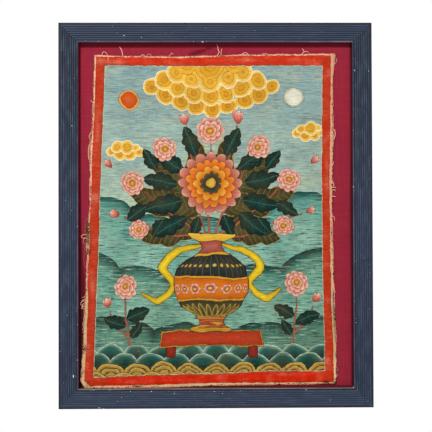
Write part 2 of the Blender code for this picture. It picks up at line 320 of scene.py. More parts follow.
# Brush strokes: the points of each line.
STEMS = (
    ((-8, -30), (-9, 40), (-7, 106)), ((-12, -30), (-34, 30), (-68, 86)), ((-2, -30), (24, 30), (56, 88)),
    ((-16, -30), (-60, -2), (-106, 38)), ((2, -30), (48, 0), (94, 42)),
    ((-18, -30), (-54, -30), (-96, -20)), ((4, -30), (42, -28), (82, -16)),
    ((-30, 60), (-36, 96), (-42, 128)), ((16, 60), (22, 96), (30, 130)),
    ((-96, -14), (-116, -8), (-134, -2)), ((82, -12), (104, -4), (124, 2)),
    ((-122, -196), (-128, -160), (-130, -116)), ((108, -196), (114, -156), (116, -110)),
    ((-126, -176), (-144, -160), (-152, -140)), ((112, -172), (132, -154), (140, -134)),
)
STEM_HALF_WIDTHS = (1.7, 1.1)
RIBBONS = (
    ((-22, -44), (-56, -52), (-78, -76), (-64, -100), (-84, -122), (-104, -112)),
    ((8, -44), (42, -52), (64, -74), (50, -98), (70, -120), (92, -108)),
)
RIBBON_HALF_WIDTHS = (2.5, 5.5, 6.5, 4.5, 6.0, 2.0)
# Vase: height, half width. Bands on it: name, lower height, upper height.
VASE = (
    (-168, 31), (-163, 31), (-158, 21), (-152, 17), (-145, 24), (-132, 43), (-114, 54), (-95, 57),
    (-76, 51), (-62, 35), (-54, 20), (-47, 15), (-41, 17), (-35, 27), (-31, 34), (-26, 35),
)
VASE_BANDS = (
    ("vase_lower", -146, -124), ("vase_belly", -121.5, -91), ("vase_shoulder", -88.5, -58),
    ("vase_neck", -55, -38),
)
BELLY_MIDDLE = -106.2
BELLY_FLOWER_PITCH = 19.0
LOWER_PETAL_PITCH = 12.6
STUD_PITCH = 10.0
# Round flower in the middle: name, radius, petals, first petal's direction, dent between petals.
ROSETTE_MIDDLE = (-7, 46)
ROSETTE_RINGS = (
    ("rosette_1", 46, 16, 0, 9), ("rosette_2", 36, 16, 11.25, 8), ("rosette_3", 26.5, 10, 0, 7),
    ("rosette_4", 17, 10, 18, 5),
)
# Rows of waves along the bottom: name, crest height, shift along the row.
WAVES = (("waves_1", -186, 0), ("waves_2", -199, 19), ("waves_3", -212, 0), ("waves_4", -225, 19))
WAVE_PITCH = 38.0
WAVE_RADIUS = 22.0

# Paint layers, from back to front: field that is positive inside, field that sets the tone, its range,
# contour colour, contour width, and tones along that range.
GROUND_LAYERS = (
    ("far_hills", "far_hills", (0, 60), "#0f2e2c", 0.8,
     ((0, "#163f3c"), (0.08, "#2c655c"), (0.26, "#5f9f90"), (1, "#8dbba8"))),
    ("middle_hills", "middle_hills", (0, 60), "#0b2624", 0.9,
     ((0, "#123632"), (0.1, "#28594e"), (0.28, "#5b9480"), (1, "#83b29c"))),
    ("near_hills", "near_hills", (0, 60), "#0a201e", 0.9,
     ((0, "#102e2a"), (0.1, "#245044"), (0.26, "#50836e"), (1, "#759f88"))),
)
OCHRE_ROCK = (
    (0, "#2e2210"), (0.05, "#d0ac4c"), (0.2, "#b08c3a"), (0.3, "#76573f"), (0.31, "#2e2210"),
    (0.35, "#2e2210"), (0.36, "#cca848"), (0.52, "#a8843a"), (0.62, "#765842"), (0.63, "#2e2210"),
    (0.67, "#2e2210"), (0.68, "#c09c42"), (1, "#947436"),
)
MOTIF_LAYERS = (
    ("sun", "sun", (0, 14), "#4c2214", 0.5,
     ((0, "#dda53c"), (0.16, "#dda53c"), (0.2, "#c04420"), (1, "#d4641f"))),
    ("moon", "moon", (0, 14), "#44504c", 0.5,
     ((0, "#cfc9ac"), (0.14, "#aab6a4"), (0.2, "#e0dcc4"), (1, "#ece8d4"))),
    ("low_clouds", "low_clouds", (0, 14), "#f6ecd0", 0.8,
     ((0, "#f2dc98"), (0.14, "#eabc52"), (0.4, "#dca028"), (1, "#c88614"))),
    ("middle_clouds", "middle_clouds", (0, 14), "#f6ecd0", 0.8,
     ((0, "#f4e0a0"), (0.14, "#ecc35c"), (0.4, "#e2aa32"), (1, "#d09018"))),
    ("high_clouds", "high_clouds", (0, 20), "#f6ecd0", 0.8,
     ((0, "#f4e0a0"), (0.1, "#eec560"), (0.3, "#e6b03a"), (1, "#d6981c"))),
    ("back_leaves", "back_leaves", (0, 14), "#a8822e", 0.8,
     ((0, "#2a2816"), (0.4, "#3b3a22"), (1, "#4f4b2a"))),
    ("stems", "stems", (0, 2), "#4a241c", 0.35, ((0, "#8e3e30"), (1, "#c27558"))),
    ("leaves", "leaves", (0, 10), "#05130f", 0.6, ((0, "#0b2420"), (0.5, "#10312b"), (1, "#194238"))),
    ("ribbons", "ribbons", (0, 6), "#26240e", 0.7, ((0, "#96740f"), (0.35, "#d4ac18"), (1, "#ecd22c"))),
    ("rosette_1", "rosette_reach", (26, 47), "#5c1e16", 0.6,
     ((0, "#7c3024"), (0.35, "#b04a3c"), (0.75, "#cd7f6a"), (1, "#e2bfaa"))),
    ("rosette_2", "rosette_reach", (18, 37), "#54180a", 0.6,
     ((0, "#98300e"), (0.4, "#d85e10"), (1, "#ee9c3c"))),
    ("rosette_3", "rosette_reach", (9, 27), "#5a2408", 0.6,
     ((0, "#a8460c"), (0.5, "#dd7c14"), (1, "#ecb848"))),
    ("rosette_4", "rosette_reach", (0, 17), "#10110c", 0.6,
     ((0, "#1e2625"), (0.6, "#2c332c"), (1, "#585430"))),
    ("rosette_heart", "rosette_reach", (0, 8), "#3a220a", 0.6, ((0, "#eacb54"), (1, "#cc901c"))),
    ("bud_back", "bud_reach", (0.1, 1), "#7c221c", 0.5,
     ((0, "#a8342a"), (0.5, "#d0705c"), (1, "#ecd0bc"))),
    ("bud_front", "bud_reach", (0.1, 1), "#7c221c", 0.5,
     ((0, "#b03c30"), (0.5, "#dc8872"), (1, "#f4e4d0"))),
    ("bloom_outer", "bloom_reach", (0.26, 0.52), "#8a261e", 0.55,
     ((0, "#9c3026"), (0.3, "#c86250"), (0.7, "#e4b19c"), (1, "#efdcc6"))),
    ("bloom_middle", "bloom_reach", (0.16, 0.38), "#8a261e", 0.5,
     ((0, "#a83428"), (0.35, "#d47a64"), (0.8, "#eccab4"), (1, "#f4e6d0"))),
    ("bloom_inner", "bloom_reach", (0.06, 0.25), "#7c2418", 0.5,
     ((0, "#a4301f"), (0.45, "#d6885c"), (1, "#f0d8b0"))),
    ("bloom_heart", "bloom_reach", (0, 0.1), "#4a2a0c", 0.4, ((0, "#e4b440"), (1, "#b87c18"))),
    ("waves_1", "waves_1", (0, 16), "#dcd6bc", 0.5,
     ((0, "#d8d2b6"), (0.06, "#76a08c"), (0.3, "#2a6054"), (1, "#123a34"))),
    ("waves_2", "waves_2", (0, 16), "#dcd6bc", 0.5,
     ((0, "#d8d2b6"), (0.06, "#668f7e"), (0.3, "#20564a"), (1, "#0e332d"))),
    ("table_legs", "table_legs", (0, 7), "#200e0a", 0.7, ((0, "#641a12"), (1, "#962c1a"))),
    ("table_top", "table_top", (0, 12), "#2c120c", 0.7,
     ((0, "#cc9430"), (0.14, "#c48820"), (0.18, "#461410"), (0.24, "#a42e18"), (1, "#c23a1a"))),
    ("vase", "vase_height", (-168, -26), "#1a140a", 0.9,
     ((0, "#b88420"), (0.06, "#d0a034"), (0.075, "#8c2e20"), (0.13, "#ae4230"), (0.15, "#c68e2c"),
      (0.9, "#d8a42c"), (1, "#e6bc40"))),
    ("vase_lower", "vase_lower", (0, 8), "#1a140a", 0.5, ((0, "#2c2c1c"), (1, "#46422a"))),
    ("lower_petals", "lower_petals", (0, 4), "#cc9f40", 0.6,
     ((0, "#ac8838"), (0.4, "#72642c"), (1, "#3a3620"))),
    ("vase_belly", "vase_belly", (0, 14), "#441a0a", 0.5, ((0, "#c25a0c"), (1, "#e07c18"))),
    ("belly_flowers", "flower_reach", (0, 8.4), "#6c2012", 0.5,
     ((0, "#d09a24"), (0.24, "#e6c452"), (0.3, "#8c2418"), (0.6, "#d07a62"), (1, "#ecdcc8"))),
    ("vase_shoulder", "vase_shoulder", (0, 14), "#0c0c0a", 0.5, ((0, "#1a2122"), (1, "#2b3536"))),
    ("studs", "studs", (0, 3), "#3c2a0c", 0.4, ((0, "#a87c20"), (1, "#ecc85c"))),
    ("vase_neck", "vase_neck", (0, 10), "#381410", 0.5, ((0, "#963e32"), (1, "#c06e5c"))),
    ("waves_3", "waves_3", (0, 18), "#33240f", 0.9, OCHRE_ROCK),
    ("waves_4", "waves_4", (0, 18), "#33240f", 0.9, OCHRE_ROCK),
)
# Fields for the middle lines of petals, and fine lines inside a layer: layer, field, spacing, half
# width, colour. A spacing of 200 mm leaves one line, where the field is nil.
FOLDS = ("bloom_outer_fold", "bloom_middle_fold")
FINE_LINES = (
    ("low_clouds", "low_clouds", 5.2, 0.4, "#b4700a"),
    ("middle_clouds", "middle_clouds", 5.2, 0.4, "#bc780c"),
    ("high_clouds", "high_clouds", 6.2, 0.4, "#bc780c"),
    ("back_leaves", "back_leaf_chevron", 9.0, 0.4, "#8a6c2a"),
    ("leaves", "leaf_chevron", 7.0, 0.35, "#051210"),
    ("leaves", "leaf_across", 200.0, 0.45, "#2e6454"),
    ("bloom_outer", "bloom_outer_fold", 200.0, 0.3, "#a8382c"),
    ("bloom_middle", "bloom_middle_fold", 200.0, 0.25, "#b04434"),
    ("vase_neck", "vase_turn", 8.0, 0.5, "#7c2c22"),
    ("vase_shoulder", "vase_turn", 10.0, 0.35, "#6c5c2a"),
)
# Depth that stands for any place well outside a motif.
OUTSIDE = -20.0


# ---------------------------------------------------------------------------------------------------
# Small tools
# ---------------------------------------------------------------------------------------------------

def linear(hex_colour):
    """Linear red, green and blue of an sRGB hex colour, by the two branches of the sRGB curve."""
    parts = [int(hex_colour[i:i + 2], 16) / 255 for i in (1, 3, 5)]
    return tuple(p / 12.92 if p <= 0.04045 else ((p + 0.055) / 1.055) ** 2.4 for p in parts)


def opaque(hex_colour):
    """Linear colour with an alpha of one, as a colour socket takes it."""
    return (*linear(hex_colour), 1.0)


def smooth_noise(x, h, reach, seed):
    """Smooth uneven field of about -1 to 1: twelve sines of seeded directions, lengths and phases."""
    random = np.random.default_rng(seed)
    total = np.zeros(np.shape(x))
    for _ in range(12):
        turn, phase = random.uniform(0, 2 * math.pi, 2)
        step = 2 * math.pi / (reach * random.uniform(0.6, 1.6))
        total += np.sin(step * (x * math.cos(turn) + h * math.sin(turn)) + phase)
    return total / 4


def smooth_step(value, low, high):
    """0 below low, 1 above high, and the cubic 3t^2 - 2t^3 between them."""
    t = np.clip((value - low) / (high - low), 0, 1)
    return t * t * (3 - 2 * t)


def smooth_line(points, steps):
    """Curve through all the points, a cubic between each two whose slopes come from their neighbours."""
    p = np.array(points, float)
    p = np.vstack([2 * p[0] - p[1], p, 2 * p[-1] - p[-2]])
    t = np.linspace(0, 1, steps, endpoint=False)[:, None]
    spans = [
        b + 0.5 * t * (c - a + t * (2 * a - 5 * b + 4 * c - d + t * (3 * b - a - 3 * c + d)))
        for a, b, c, d in zip(p[:-3], p[1:-2], p[2:-1], p[3:])
    ]
    return np.vstack([*spans, p[-2:-1]])


def grid_faces(rows, columns, start=0, close_columns=False):
    """Quads between neighbours of a grid of points that is numbered row by row."""
    index = start + np.arange(rows * columns).reshape(rows, columns)
    if close_columns:
        index = np.hstack([index, index[:, :1]])
    return np.stack([index[:-1, :-1], index[:-1, 1:], index[1:, 1:], index[1:, :-1]], -1).reshape(-1, 4)


def new_piece(name, points, faces, materials, attributes=None, sharp_angle=None):
    """Object at the origin whose mesh has these points in metres, named float fields, and its finish."""
    mesh = bpy.data.meshes.new(name)
    mesh.from_pydata(np.asarray(points, float).reshape(-1, 3).tolist(), [], faces)
    for key, values in (attributes or {}).items():
        field = mesh.attributes.new(key, "FLOAT", "POINT")
        field.data.foreach_set("value", np.asarray(values, np.float32).ravel())
    mesh.shade_smooth()
    if sharp_angle is not None:
        mesh.set_sharp_from_angle(angle=sharp_angle)
    for material in materials:
        mesh.materials.append(material)
    mesh.update()
    piece = bpy.data.objects.new(name, mesh)
    bpy.context.scene.collection.objects.link(piece)
    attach(piece, BODY)
    return piece


def placed(x, height, level):
    """Points in metres from x and height about the frame's middle, and level above the frame's back."""
    return np.stack([x * MM, -level * MM, MIDDLE_Z + height * MM], -1)


def closed_bodies(count, rings, sides):
    """Faces of bodies made of rings of points: the walls between rings, and one face on each end."""
    starts = rings * sides * np.arange(count)[:, None]
    walls = grid_faces(rings, sides, 0, True)
    faces = (walls[None] + starts[:, :, None]).reshape(-1, 4).tolist()
    for end in (np.arange(sides)[::-1], (rings - 1) * sides + np.arange(sides)):
        faces += (end + starts).tolist()
    return faces


def tubes(lines, radii, sides):
    """Round tubes along many lines at once: points, faces.

    lines is (tube, point, 3) and radii (tube, point), in metres. Each ring lies across its line: the
    tangent's cross product with +Y gives one direction, and with the tangent again the other.
    """
    tangent = np.gradient(lines, axis=1)
    tangent /= np.linalg.norm(tangent, axis=2, keepdims=True)
    side = np.cross(tangent, (0.0, 1.0, 0.0))
    side /= np.maximum(np.linalg.norm(side, axis=2, keepdims=True), 1e-9)
    other = np.cross(tangent, side)
    angle = 2 * math.pi * np.arange(sides) / sides
    ring = np.cos(angle)[:, None] * side[:, :, None] + np.sin(angle)[:, None] * other[:, :, None]
    points = lines[:, :, None] + radii[:, :, None, None] * ring
    return points.reshape(-1, 3), closed_bodies(*lines.shape[:2], sides)


def sheet_shape(x, height, front, back, step):
    """Closed sheet from a grid of front points: points, faces.

    The back repeats every step-th row and column at its own level, and each rim face joins step
    front edges to one back edge, so the front alone is fine.
    """
    rows, columns = x.shape
    coarse = (slice(None, None, step), slice(None, None, step))
    back_rows, back_columns = x[coarse].shape
    points = np.vstack([
        placed(x, height, front).reshape(-1, 3),
        placed(x[coarse], height[coarse], back[coarse]).reshape(-1, 3),
    ])
    index = np.arange(rows * columns).reshape(rows, columns)
    under = rows * columns + np.arange(back_rows * back_columns).reshape(back_rows, back_columns)
    around, around_back = (
        np.concatenate([i[0, :-1], i[:-1, -1], i[-1, :0:-1], i[:0:-1, 0], i[0, :1]]) for i in (index, under)
    )
    sections = np.arange(len(around_back) - 1)
    front_parts = around[sections[:, None] * step + np.arange(step, -1, -1)]
    rim = np.hstack([front_parts, around_back[sections][:, None], around_back[sections + 1][:, None]])
    faces = grid_faces(rows, columns).tolist()
    faces += grid_faces(back_rows, back_columns, rows * columns)[:, ::-1].tolist()
    return points, faces + rim.tolist()


# ---------------------------------------------------------------------------------------------------
# The cloth's form and the fields of its picture
# ---------------------------------------------------------------------------------------------------

def at(table, where, column=1):
    """Value of a table's column by straight lines between its rows."""
    values = np.array(table, float)
    return np.interp(where, values[:, 0], values[:, column])


def part_way(table, t):
    """From the first value of a table's first row at 0 to that of its last row at 1."""
    return table[0][0] + t * (table[-1][0] - table[0][0])


def depths(x, height, edges=CLOTH_EDGES, column=1):
    """Distances in from the left, right, bottom and top edges that four tables give."""
    left, right, bottom, top = edges
    return (x - at(left, height, column), at(right, height, column) - x,
            height - at(bottom, x, column), at(top, x, column) - height)


def cloth_grid(across_count, up_count):
    """x and height of the cloth's grid.

    The four edges are blended: the two straight blends between facing edges are added, and the blend
    of the four corners is taken away.
    """
    across, up = np.meshgrid(np.linspace(0, 1, across_count + 1), np.linspace(0, 1, up_count + 1))
    corners = np.array([[BOTTOM_EDGE[0], BOTTOM_EDGE[-1]], [TOP_EDGE[0], TOP_EDGE[-1]]], float)
    left_height, right_height = part_way(LEFT_EDGE, up), part_way(RIGHT_EDGE, up)
    top_x, bottom_x = part_way(TOP_EDGE, across), part_way(BOTTOM_EDGE, across)
    sides = (
        (1 - across) * at(LEFT_EDGE, left_height) + across * at(RIGHT_EDGE, right_height),
        (1 - across) * left_height + across * right_height,
    )
    ends = (
        (1 - up) * bottom_x + up * top_x,
        (1 - up) * at(BOTTOM_EDGE, bottom_x) + up * at(TOP_EDGE, top_x),
    )
    x, height = (
        sides[k] + ends[k]
        - (1 - up) * ((1 - across) * corners[0, 0, k] + across * corners[0, 1, k])
        - up * ((1 - across) * corners[1, 0, k] + across * corners[1, 1, k])
        for k in (0, 1)
    )
    return x, height


def raw_edge_wander(x, height):
    """The uneven cut: short noise along each edge that dies away inwards over a few millimetres."""
    noise_here = 0.6 * smooth_noise(x, height, 5, 21) + 0.4 * smooth_noise(x, height, 16, 22)
    reach = 2.5
    left, right, bottom, top = (np.exp(-depth / reach) for depth in depths(x, height))
    return x + noise_here * (left - right), height + noise_here * (bottom - top)


def from_edge(x, height):
    """Distance in from the nearest edge of the cloth."""
    return np.min(depths(x, height), axis=0)


def rounds(x, height, rows):
    """Sum of a table's places: strength times exp of minus the squared distance in reaches."""
    return sum(
        strength * np.exp(-(((x - px) / reach_x) ** 2) - ((height - ph) / reach_height) ** 2)
        for px, ph, strength, reach_x, reach_height in rows
    )


def cloth_lift(x, height):
    """How far the cloth stands off the mount: the source's round rises, and a soft ripple at the edges."""
    lift = rounds(x, height, LIFTED_PLACES)
    edge = np.exp(-np.maximum(from_edge(x, height), 0) / 14)
    ripple = 0.35 * edge * (1 + smooth_noise(x, height, 46, 31)) * 0.8
    slack = 0.10 * (1 + smooth_noise(x, height, 90, 32))
    return lift + np.maximum(ripple, 0) + slack


def band_fields(x, h):
    """Depth inside the red band, and inside the picture, from the band's outer and inner edges."""
    wobble = 0.34 * smooth_noise(x, h, 22, 41) + 0.2 * smooth_noise(x, h, 5, 42)
    inside = [np.min(depths(x, h, BAND_EDGES, column), axis=0) for column in (1, 2)]
    corner = INTO_BAND[0] * (x - BAND_CORNER[0]) + INTO_BAND[1] * (h - BAND_CORNER[1])
    picture = inside[1] + wobble
    return np.minimum(np.minimum(inside[0], corner) + wobble, -picture), picture - UNPAINTED_LINE


def turned(x, h, base_x, base_h, degrees):
    """Distances along and across a direction, from a base point."""
    c, s = math.cos(math.radians(degrees)), math.sin(math.radians(degrees))
    return (x - base_x) * c + (h - base_h) * s, (h - base_h) * c - (x - base_x) * s


def discs(x, h, rows):
    """Depth inside a group of discs: the largest of radius less distance."""
    return np.max([radius - np.hypot(x - cx, h - ch) for cx, ch, radius in rows], axis=0)


def lens(along, across, length, half_width):
    """Depth inside a pointed petal, the overlap of two circles that meet at its two tips."""
    radius = (length * length / 4 + half_width ** 2) / (2 * half_width)
    return radius - np.hypot(np.abs(across) + radius - half_width, along - length / 2)


def leaf(x, h, base_x, base_h, degrees, length, half_width):
    """Depth inside a lobed leaf, and the places across and along it.

    The half width is a skewed half sine along the leaf, times a wave that makes the lobes.
    """
    along, across = turned(x, h, base_x, base_h, degrees)
    t = np.clip(along / length, 0, 1)
    lobes = 0.74 + 0.26 * np.abs(np.cos(3.5 * math.pi * t ** 0.9))
    half = half_width * np.sin(math.pi * t ** 0.8) ** 0.75 * lobes
    beyond = np.maximum(np.maximum(-along, along - length), 0)
    return 0.85 * (half - np.abs(across)) - beyond, across, along


def stroke(x, h, points, half_widths):
    """Depth inside a brush stroke: the half width less the distance to the nearest piece of its line."""
    line = smooth_line(points, 8)
    places = np.linspace(0, 1, len(line))
    widths = np.interp(places, np.linspace(0, 1, len(half_widths)), half_widths)
    margin = 12.0
    low, high = line.min(0) - margin, line.max(0) + margin
    near = (x > low[0]) & (x < high[0]) & (h > low[1]) & (h < high[1])
    near_x, near_h = x[near], h[near]
    depth = np.full(near_x.shape, OUTSIDE)
    for (ax, ah), (bx, bh), start, end in zip(line[:-1], line[1:], widths[:-1], widths[1:]):
        run_x, run_h = bx - ax, bh - ah
        t = np.clip(((near_x - ax) * run_x + (near_h - ah) * run_h) / (run_x ** 2 + run_h ** 2), 0, 1)
        away = np.hypot(near_x - ax - t * run_x, near_h - ah - t * run_h)
        depth = np.maximum(depth, start + (end - start) * t - away)
    whole = np.full(x.shape, OUTSIDE)
    whole[near] = depth
    return whole


def petal_ring(across, up, radius, petals, first, dent):
    """Depth inside a ring of round petals: radius, less a dent between petals, less the distance."""
    angle = np.arctan2(up, across) - math.radians(first)
    return radius - dent * (1 - np.abs(np.cos(petals * angle / 2)) ** 0.55) - np.hypot(across, up)


def wave_row(x, h, crest, shift):
    """Depth below a row of round crests, which goes on growing below the crests' middles."""
    local = np.mod(x - shift + WAVE_PITCH / 2, WAVE_PITCH) - WAVE_PITCH / 2
    middle = crest - WAVE_RADIUS
    arc = WAVE_RADIUS - np.hypot(local, h - middle)
    return np.where(h < middle, np.maximum(arc, 6 + middle - h), arc)


def leaf_group(x, h, rows):
    """Depth, place across and chevron pattern of whichever leaf of a table is nearest."""
    depths, acrosses, alongs = (np.stack(part) for part in zip(*(leaf(x, h, *row) for row in rows)))
    nearest = depths.argmax(0)[None]
    depth, across, along = (np.take_along_axis(part, nearest, 0)[0] for part in (depths, acrosses, alongs))
    return depth, across, along - 0.9 * np.abs(across)


def bloom_fields(x, h):
    """Round flowers. A petal's middle line lies where the radius times the sine of its turn is nil."""
    reach = np.stack([np.hypot(x - bx, h - bh) for bx, bh, _, _ in BLOOMS])
    size = np.array([row[3] for row in BLOOMS], float)[:, None, None]
    fields = {"bloom_reach": np.min(reach / size, axis=0)}
    nearest = (reach / size).argmin(0)[None]
    for name, part, petals, first, dent in BLOOM_RINGS:
        fields[name] = np.max([
            petal_ring(x - bx, h - bh, part * size_, petals, first + turn, dent * size_)
            for bx, bh, turn, size_ in BLOOMS
        ], axis=0)
        if name + "_fold" in FOLDS:
            folds = [
                2 / petals * np.hypot(x - bx, h - bh)
                * np.abs(np.sin(petals * (np.arctan2(h - bh, x - bx) - math.radians(first + turn)) / 2))
                for bx, bh, turn, _ in BLOOMS
            ]
            fields[name + "_fold"] = np.take_along_axis(np.stack(folds), nearest, 0)[0]
    return fields


def plant_fields(x, h):
    """Stems, leaves, buds, flowers and the large round flower."""
    fields = {"stems": np.max([stroke(x, h, line, STEM_HALF_WIDTHS) for line in STEMS], axis=0)}
    fields["leaves"], fields["leaf_across"], fields["leaf_chevron"] = leaf_group(x, h, LEAVES)
    fields["back_leaves"], _, fields["back_leaf_chevron"] = leaf_group(x, h, BACK_LEAVES)
    for base_x, base_h, degrees, size in BUDS:
        for name, turns, length, half_width in BUD_PETALS:
            for turn in turns:
                along, across = turned(x, h, base_x, base_h, degrees + turn)
                depth = lens(along, across, size * length, size * half_width)
                fields[name] = np.maximum(fields.get(name, OUTSIDE), depth)
    fields["bud_reach"] = np.min([np.hypot(x - bx, h - bh) / size for bx, bh, _, size in BUDS], axis=0)
    fields |= bloom_fields(x, h)
    across, up = x - ROSETTE_MIDDLE[0], h - ROSETTE_MIDDLE[1]
    for name, *shape in ROSETTE_RINGS:
        fields[name] = petal_ring(across, up, *shape)
    fields["rosette_reach"] = np.hypot(across, up)
    fields["rosette_heart"] = 8 - fields["rosette_reach"]
    return fields


def vase_fields(x, h):
    """Vase, its bands and their flowers and petals, its ribbons, and the low table under it.

    The vase's depth is its half width at a height less the distance from the centre line, divided by
    the length of its wall's slope. Its ornament follows the turn round the belly, an arc sine.
    """
    heights, half_widths = np.array(VASE, float).T
    fine = np.linspace(heights[0], heights[-1], 300)
    kernel = np.hanning(19) / np.hanning(19).sum()
    smooth = np.convolve(np.pad(np.interp(fine, heights, half_widths), 9, "edge"), kernel, "valid")
    half, slope = np.interp(h, fine, smooth), np.interp(h, fine, np.gradient(smooth, fine))
    off_centre = np.abs(x - CENTRE_X)
    vase = (half - off_centre) / np.sqrt(1 + slope ** 2)
    vase = np.minimum(vase, np.minimum(h - heights[0], heights[-1] - h))
    turn = 50 * np.arcsin(np.clip((x - CENTRE_X) / half, -0.98, 0.98))
    fields = {"vase": vase, "vase_height": h, "vase_turn": turn}
    for name, low, high in VASE_BANDS:
        fields[name] = np.minimum(vase - 0.6, np.minimum(h - low, high - h))
    pitch = BELLY_FLOWER_PITCH
    local = np.mod(turn + pitch / 2, pitch) - pitch / 2
    flower = petal_ring(local, h - BELLY_MIDDLE, 8.2, 6, 0, 2.2)
    fields["belly_flowers"] = np.minimum(flower, vase - 1.5)
    fields["flower_reach"] = np.hypot(local, h - BELLY_MIDDLE)
    local = np.mod(turn, LOWER_PETAL_PITCH) - LOWER_PETAL_PITCH / 2
    lower = lens(h + 154, local, 26, 5.6)
    fields["lower_petals"] = np.minimum(lower, fields["vase_lower"] - 0.4)
    local = np.mod(turn, STUD_PITCH) - STUD_PITCH / 2
    fields["studs"] = np.minimum(2.9 - np.hypot(local, h + 73), fields["vase_shoulder"])
    fields["ribbons"] = np.max([stroke(x, h, line, RIBBON_HALF_WIDTHS) for line in RIBBONS], axis=0)
    fields["table_top"] = np.minimum(74 - off_centre - 0.18 * (h + 180), np.minimum(h + 190, -166 - h))
    legs = np.minimum(66 - off_centre, off_centre - 52)
    fields["table_legs"] = np.minimum(legs, np.minimum(h + 206, -186 - h))
    return fields


def picture_fields(x, h):
    """All the picture's fields, on places that an unsteady hand has shifted a little."""
    hand_x = x + 1.5 * smooth_noise(x, h, 60, 3) + 0.45 * smooth_noise(x, h, 17, 4)
    hand_h = h + 1.5 * smooth_noise(x, h, 55, 5) + 0.45 * smooth_noise(x, h, 15, 6)
    fields = {name: discs(hand_x, hand_h, rows) for name, rows in DISC_GROUPS.items()}
    fields |= plant_fields(hand_x, hand_h) | vase_fields(hand_x, hand_h)
    for name, crest, shift in WAVES:
        fields[name] = wave_row(hand_x, hand_h, crest, shift)
    return {
        name: field if name.endswith(("across", "chevron", "vase_height", "vase_turn")) else
        np.maximum(field, OUTSIDE)
        for name, field in fields.items()
    }


# ---------------------------------------------------------------------------------------------------
# Settings
# ---------------------------------------------------------------------------------------------------

def colour_setting(name, description, hex_colour):
    """Colour property with an sRGB hex default."""
    return FloatVectorProperty(
        name=name, description=description, subtype="COLOR", min=0, max=1, default=linear(hex_colour)
    )


def length_setting(name, description, millimetres):
    """Length property in metres with a default in millimetres."""
    return FloatProperty(name=name, description=description, unit="LENGTH", default=millimetres * MM, min=0)


def count_setting(name, description, number, least=1):
    """Whole number property."""
    return IntProperty(name=name, description=description, default=number, min=least)


def angle_setting(name, description, degrees):
    """Angle property in radians with a default in degrees."""
    return FloatProperty(name=name, description=description, unit="ROTATION", default=math.radians(degrees))


class RailSettings(bpy.types.PropertyGroup):
    """Moulding and its paint."""

    reed_count: count_setting("Reeds", "Half-round reeds across the moulding", 8)
    reed_relief: length_setting("Reed relief", "Height of a reed above its grooves", 1.0)
    outer_band: length_setting("Outer band", "Smooth band outside the reeds", 3.2)
    lip_width: length_setting("Lip", "How far the lip reaches over the mount", 6.5)
    stations: count_setting("Stations", "Cross sections along a rail", 150, 2)
    paint: colour_setting("Paint", "Slate paint on the reeds", "#2b3c50")
    drift: colour_setting("Drift", "Hue that the paint drifts towards in places", "#373851")
    # The grooves' colour is dirt, and painted shade for the recesses.
    groove_shade_and_dirt: colour_setting("Grooves", "Paint and dirt in the grooves", "#141a23")
    worn: colour_setting("Worn crests", "Rubbed paint on the crests", "#4e5e70")
    lip: colour_setting("Worn lip", "Rubbed paint along the lip's edge", "#8c7a82")


class MountSettings(bpy.types.PropertyGroup):
    """Board and the cotton over it."""

    cloth_thickness: length_setting("Cloth thickness", "Maroon cotton over the board", 0.5)
    cotton: colour_setting("Cotton", "Maroon cotton", "#971d33")
    board: colour_setting("Board", "Pressed wood fibre", "#7d5f43")


class ClothSettings(bpy.types.PropertyGroup):
    """Painted cotton."""

    faces_across: count_setting("Faces across", "Grid faces across the front", 264, 8)
    faces_up: count_setting("Faces up", "Grid faces up the front", 344, 8)
    thickness: length_setting("Thickness", "Primed and painted cotton", 1.2)
    edge_thickness: length_setting("Edge thickness", "Raw cotton at the edges", 0.5)
    cotton: colour_setting("Cotton", "Unpainted cotton", "#f6b491")
    cream: colour_setting("Cream", "Yellowed cotton lower down", "#ecc697")
    band: colour_setting("Band", "Red border band", "#cc3114")


class ThreadSettings(bpy.types.PropertyGroup):
    """Loose threads and short fibres."""

    thread_diameter: length_setting("Thread", "Diameter of a loose thread", 0.95)
    fibre_diameter: length_setting("Fibre", "Diameter of a fibre at its root", 0.42)
    fibre_count: count_setting("Fibres", "Short fibres round the edges", 1900)
    ravel_count: count_setting("Ravels", "Threads that run along the edges", 70)


class StageSettings(bpy.types.PropertyGroup):
    """Floor, light and camera."""

    distance: length_setting("Camera distance", "From the camera to the frame's face", 1300.0)
    azimuth: angle_setting("Azimuth", "Turn of the camera about Z", -0.8261)
    elevation: angle_setting("Elevation", "Camera above the level", -0.8162)
    roll: angle_setting("Roll", "Camera's lean", -0.1827)
    focal_length: FloatProperty(name="Focal length", description="On a 36 mm sensor", default=75.56, min=1)
    key_power: FloatProperty(name="Key power", description="Soft light", unit="POWER", default=39, min=0)
    key_size: length_setting("Key size", "Side of the square key light", 260.0)
    key_distance: length_setting("Key distance", "From the key light to the frame's middle", 2400.0)
    fill: FloatProperty(name="Fill", description="Even light all round", default=0.42, min=0)
    floor_drop: length_setting("Floor drop", "Floor below the frame", 600.0)
    floor_radius: length_setting("Floor radius", "Round studio floor", 2000.0)


# ---------------------------------------------------------------------------------------------------
# Materials
# ---------------------------------------------------------------------------------------------------

# Kinds of node: type, fixed settings, what the values of a call are for, and the output that is wanted.
UV = ("ShaderNodeTexCoord", {}, (), "UV")
PLACE = ("ShaderNodeTexCoord", {}, (), "Object")
X_OF = ("ShaderNodeSeparateXYZ", {}, (0,), "X")
Z_OF = ("ShaderNodeSeparateXYZ", {}, (0,), "Z")
FIELD = ("ShaderNodeAttribute", {}, ("attribute_name",), "Fac")
STRETCHED = ("ShaderNodeMapping", {}, ("Vector", "Scale"), 0)
NOISE = ("ShaderNodeTexNoise", {"Scale": 1.0, "Roughness": 0.6}, ("Vector", "Detail"), "Fac")
FLOOR_NOISE = ("ShaderNodeTexNoise", {"Scale": 3.0, "Detail": 2.0}, ("Vector",), "Fac")
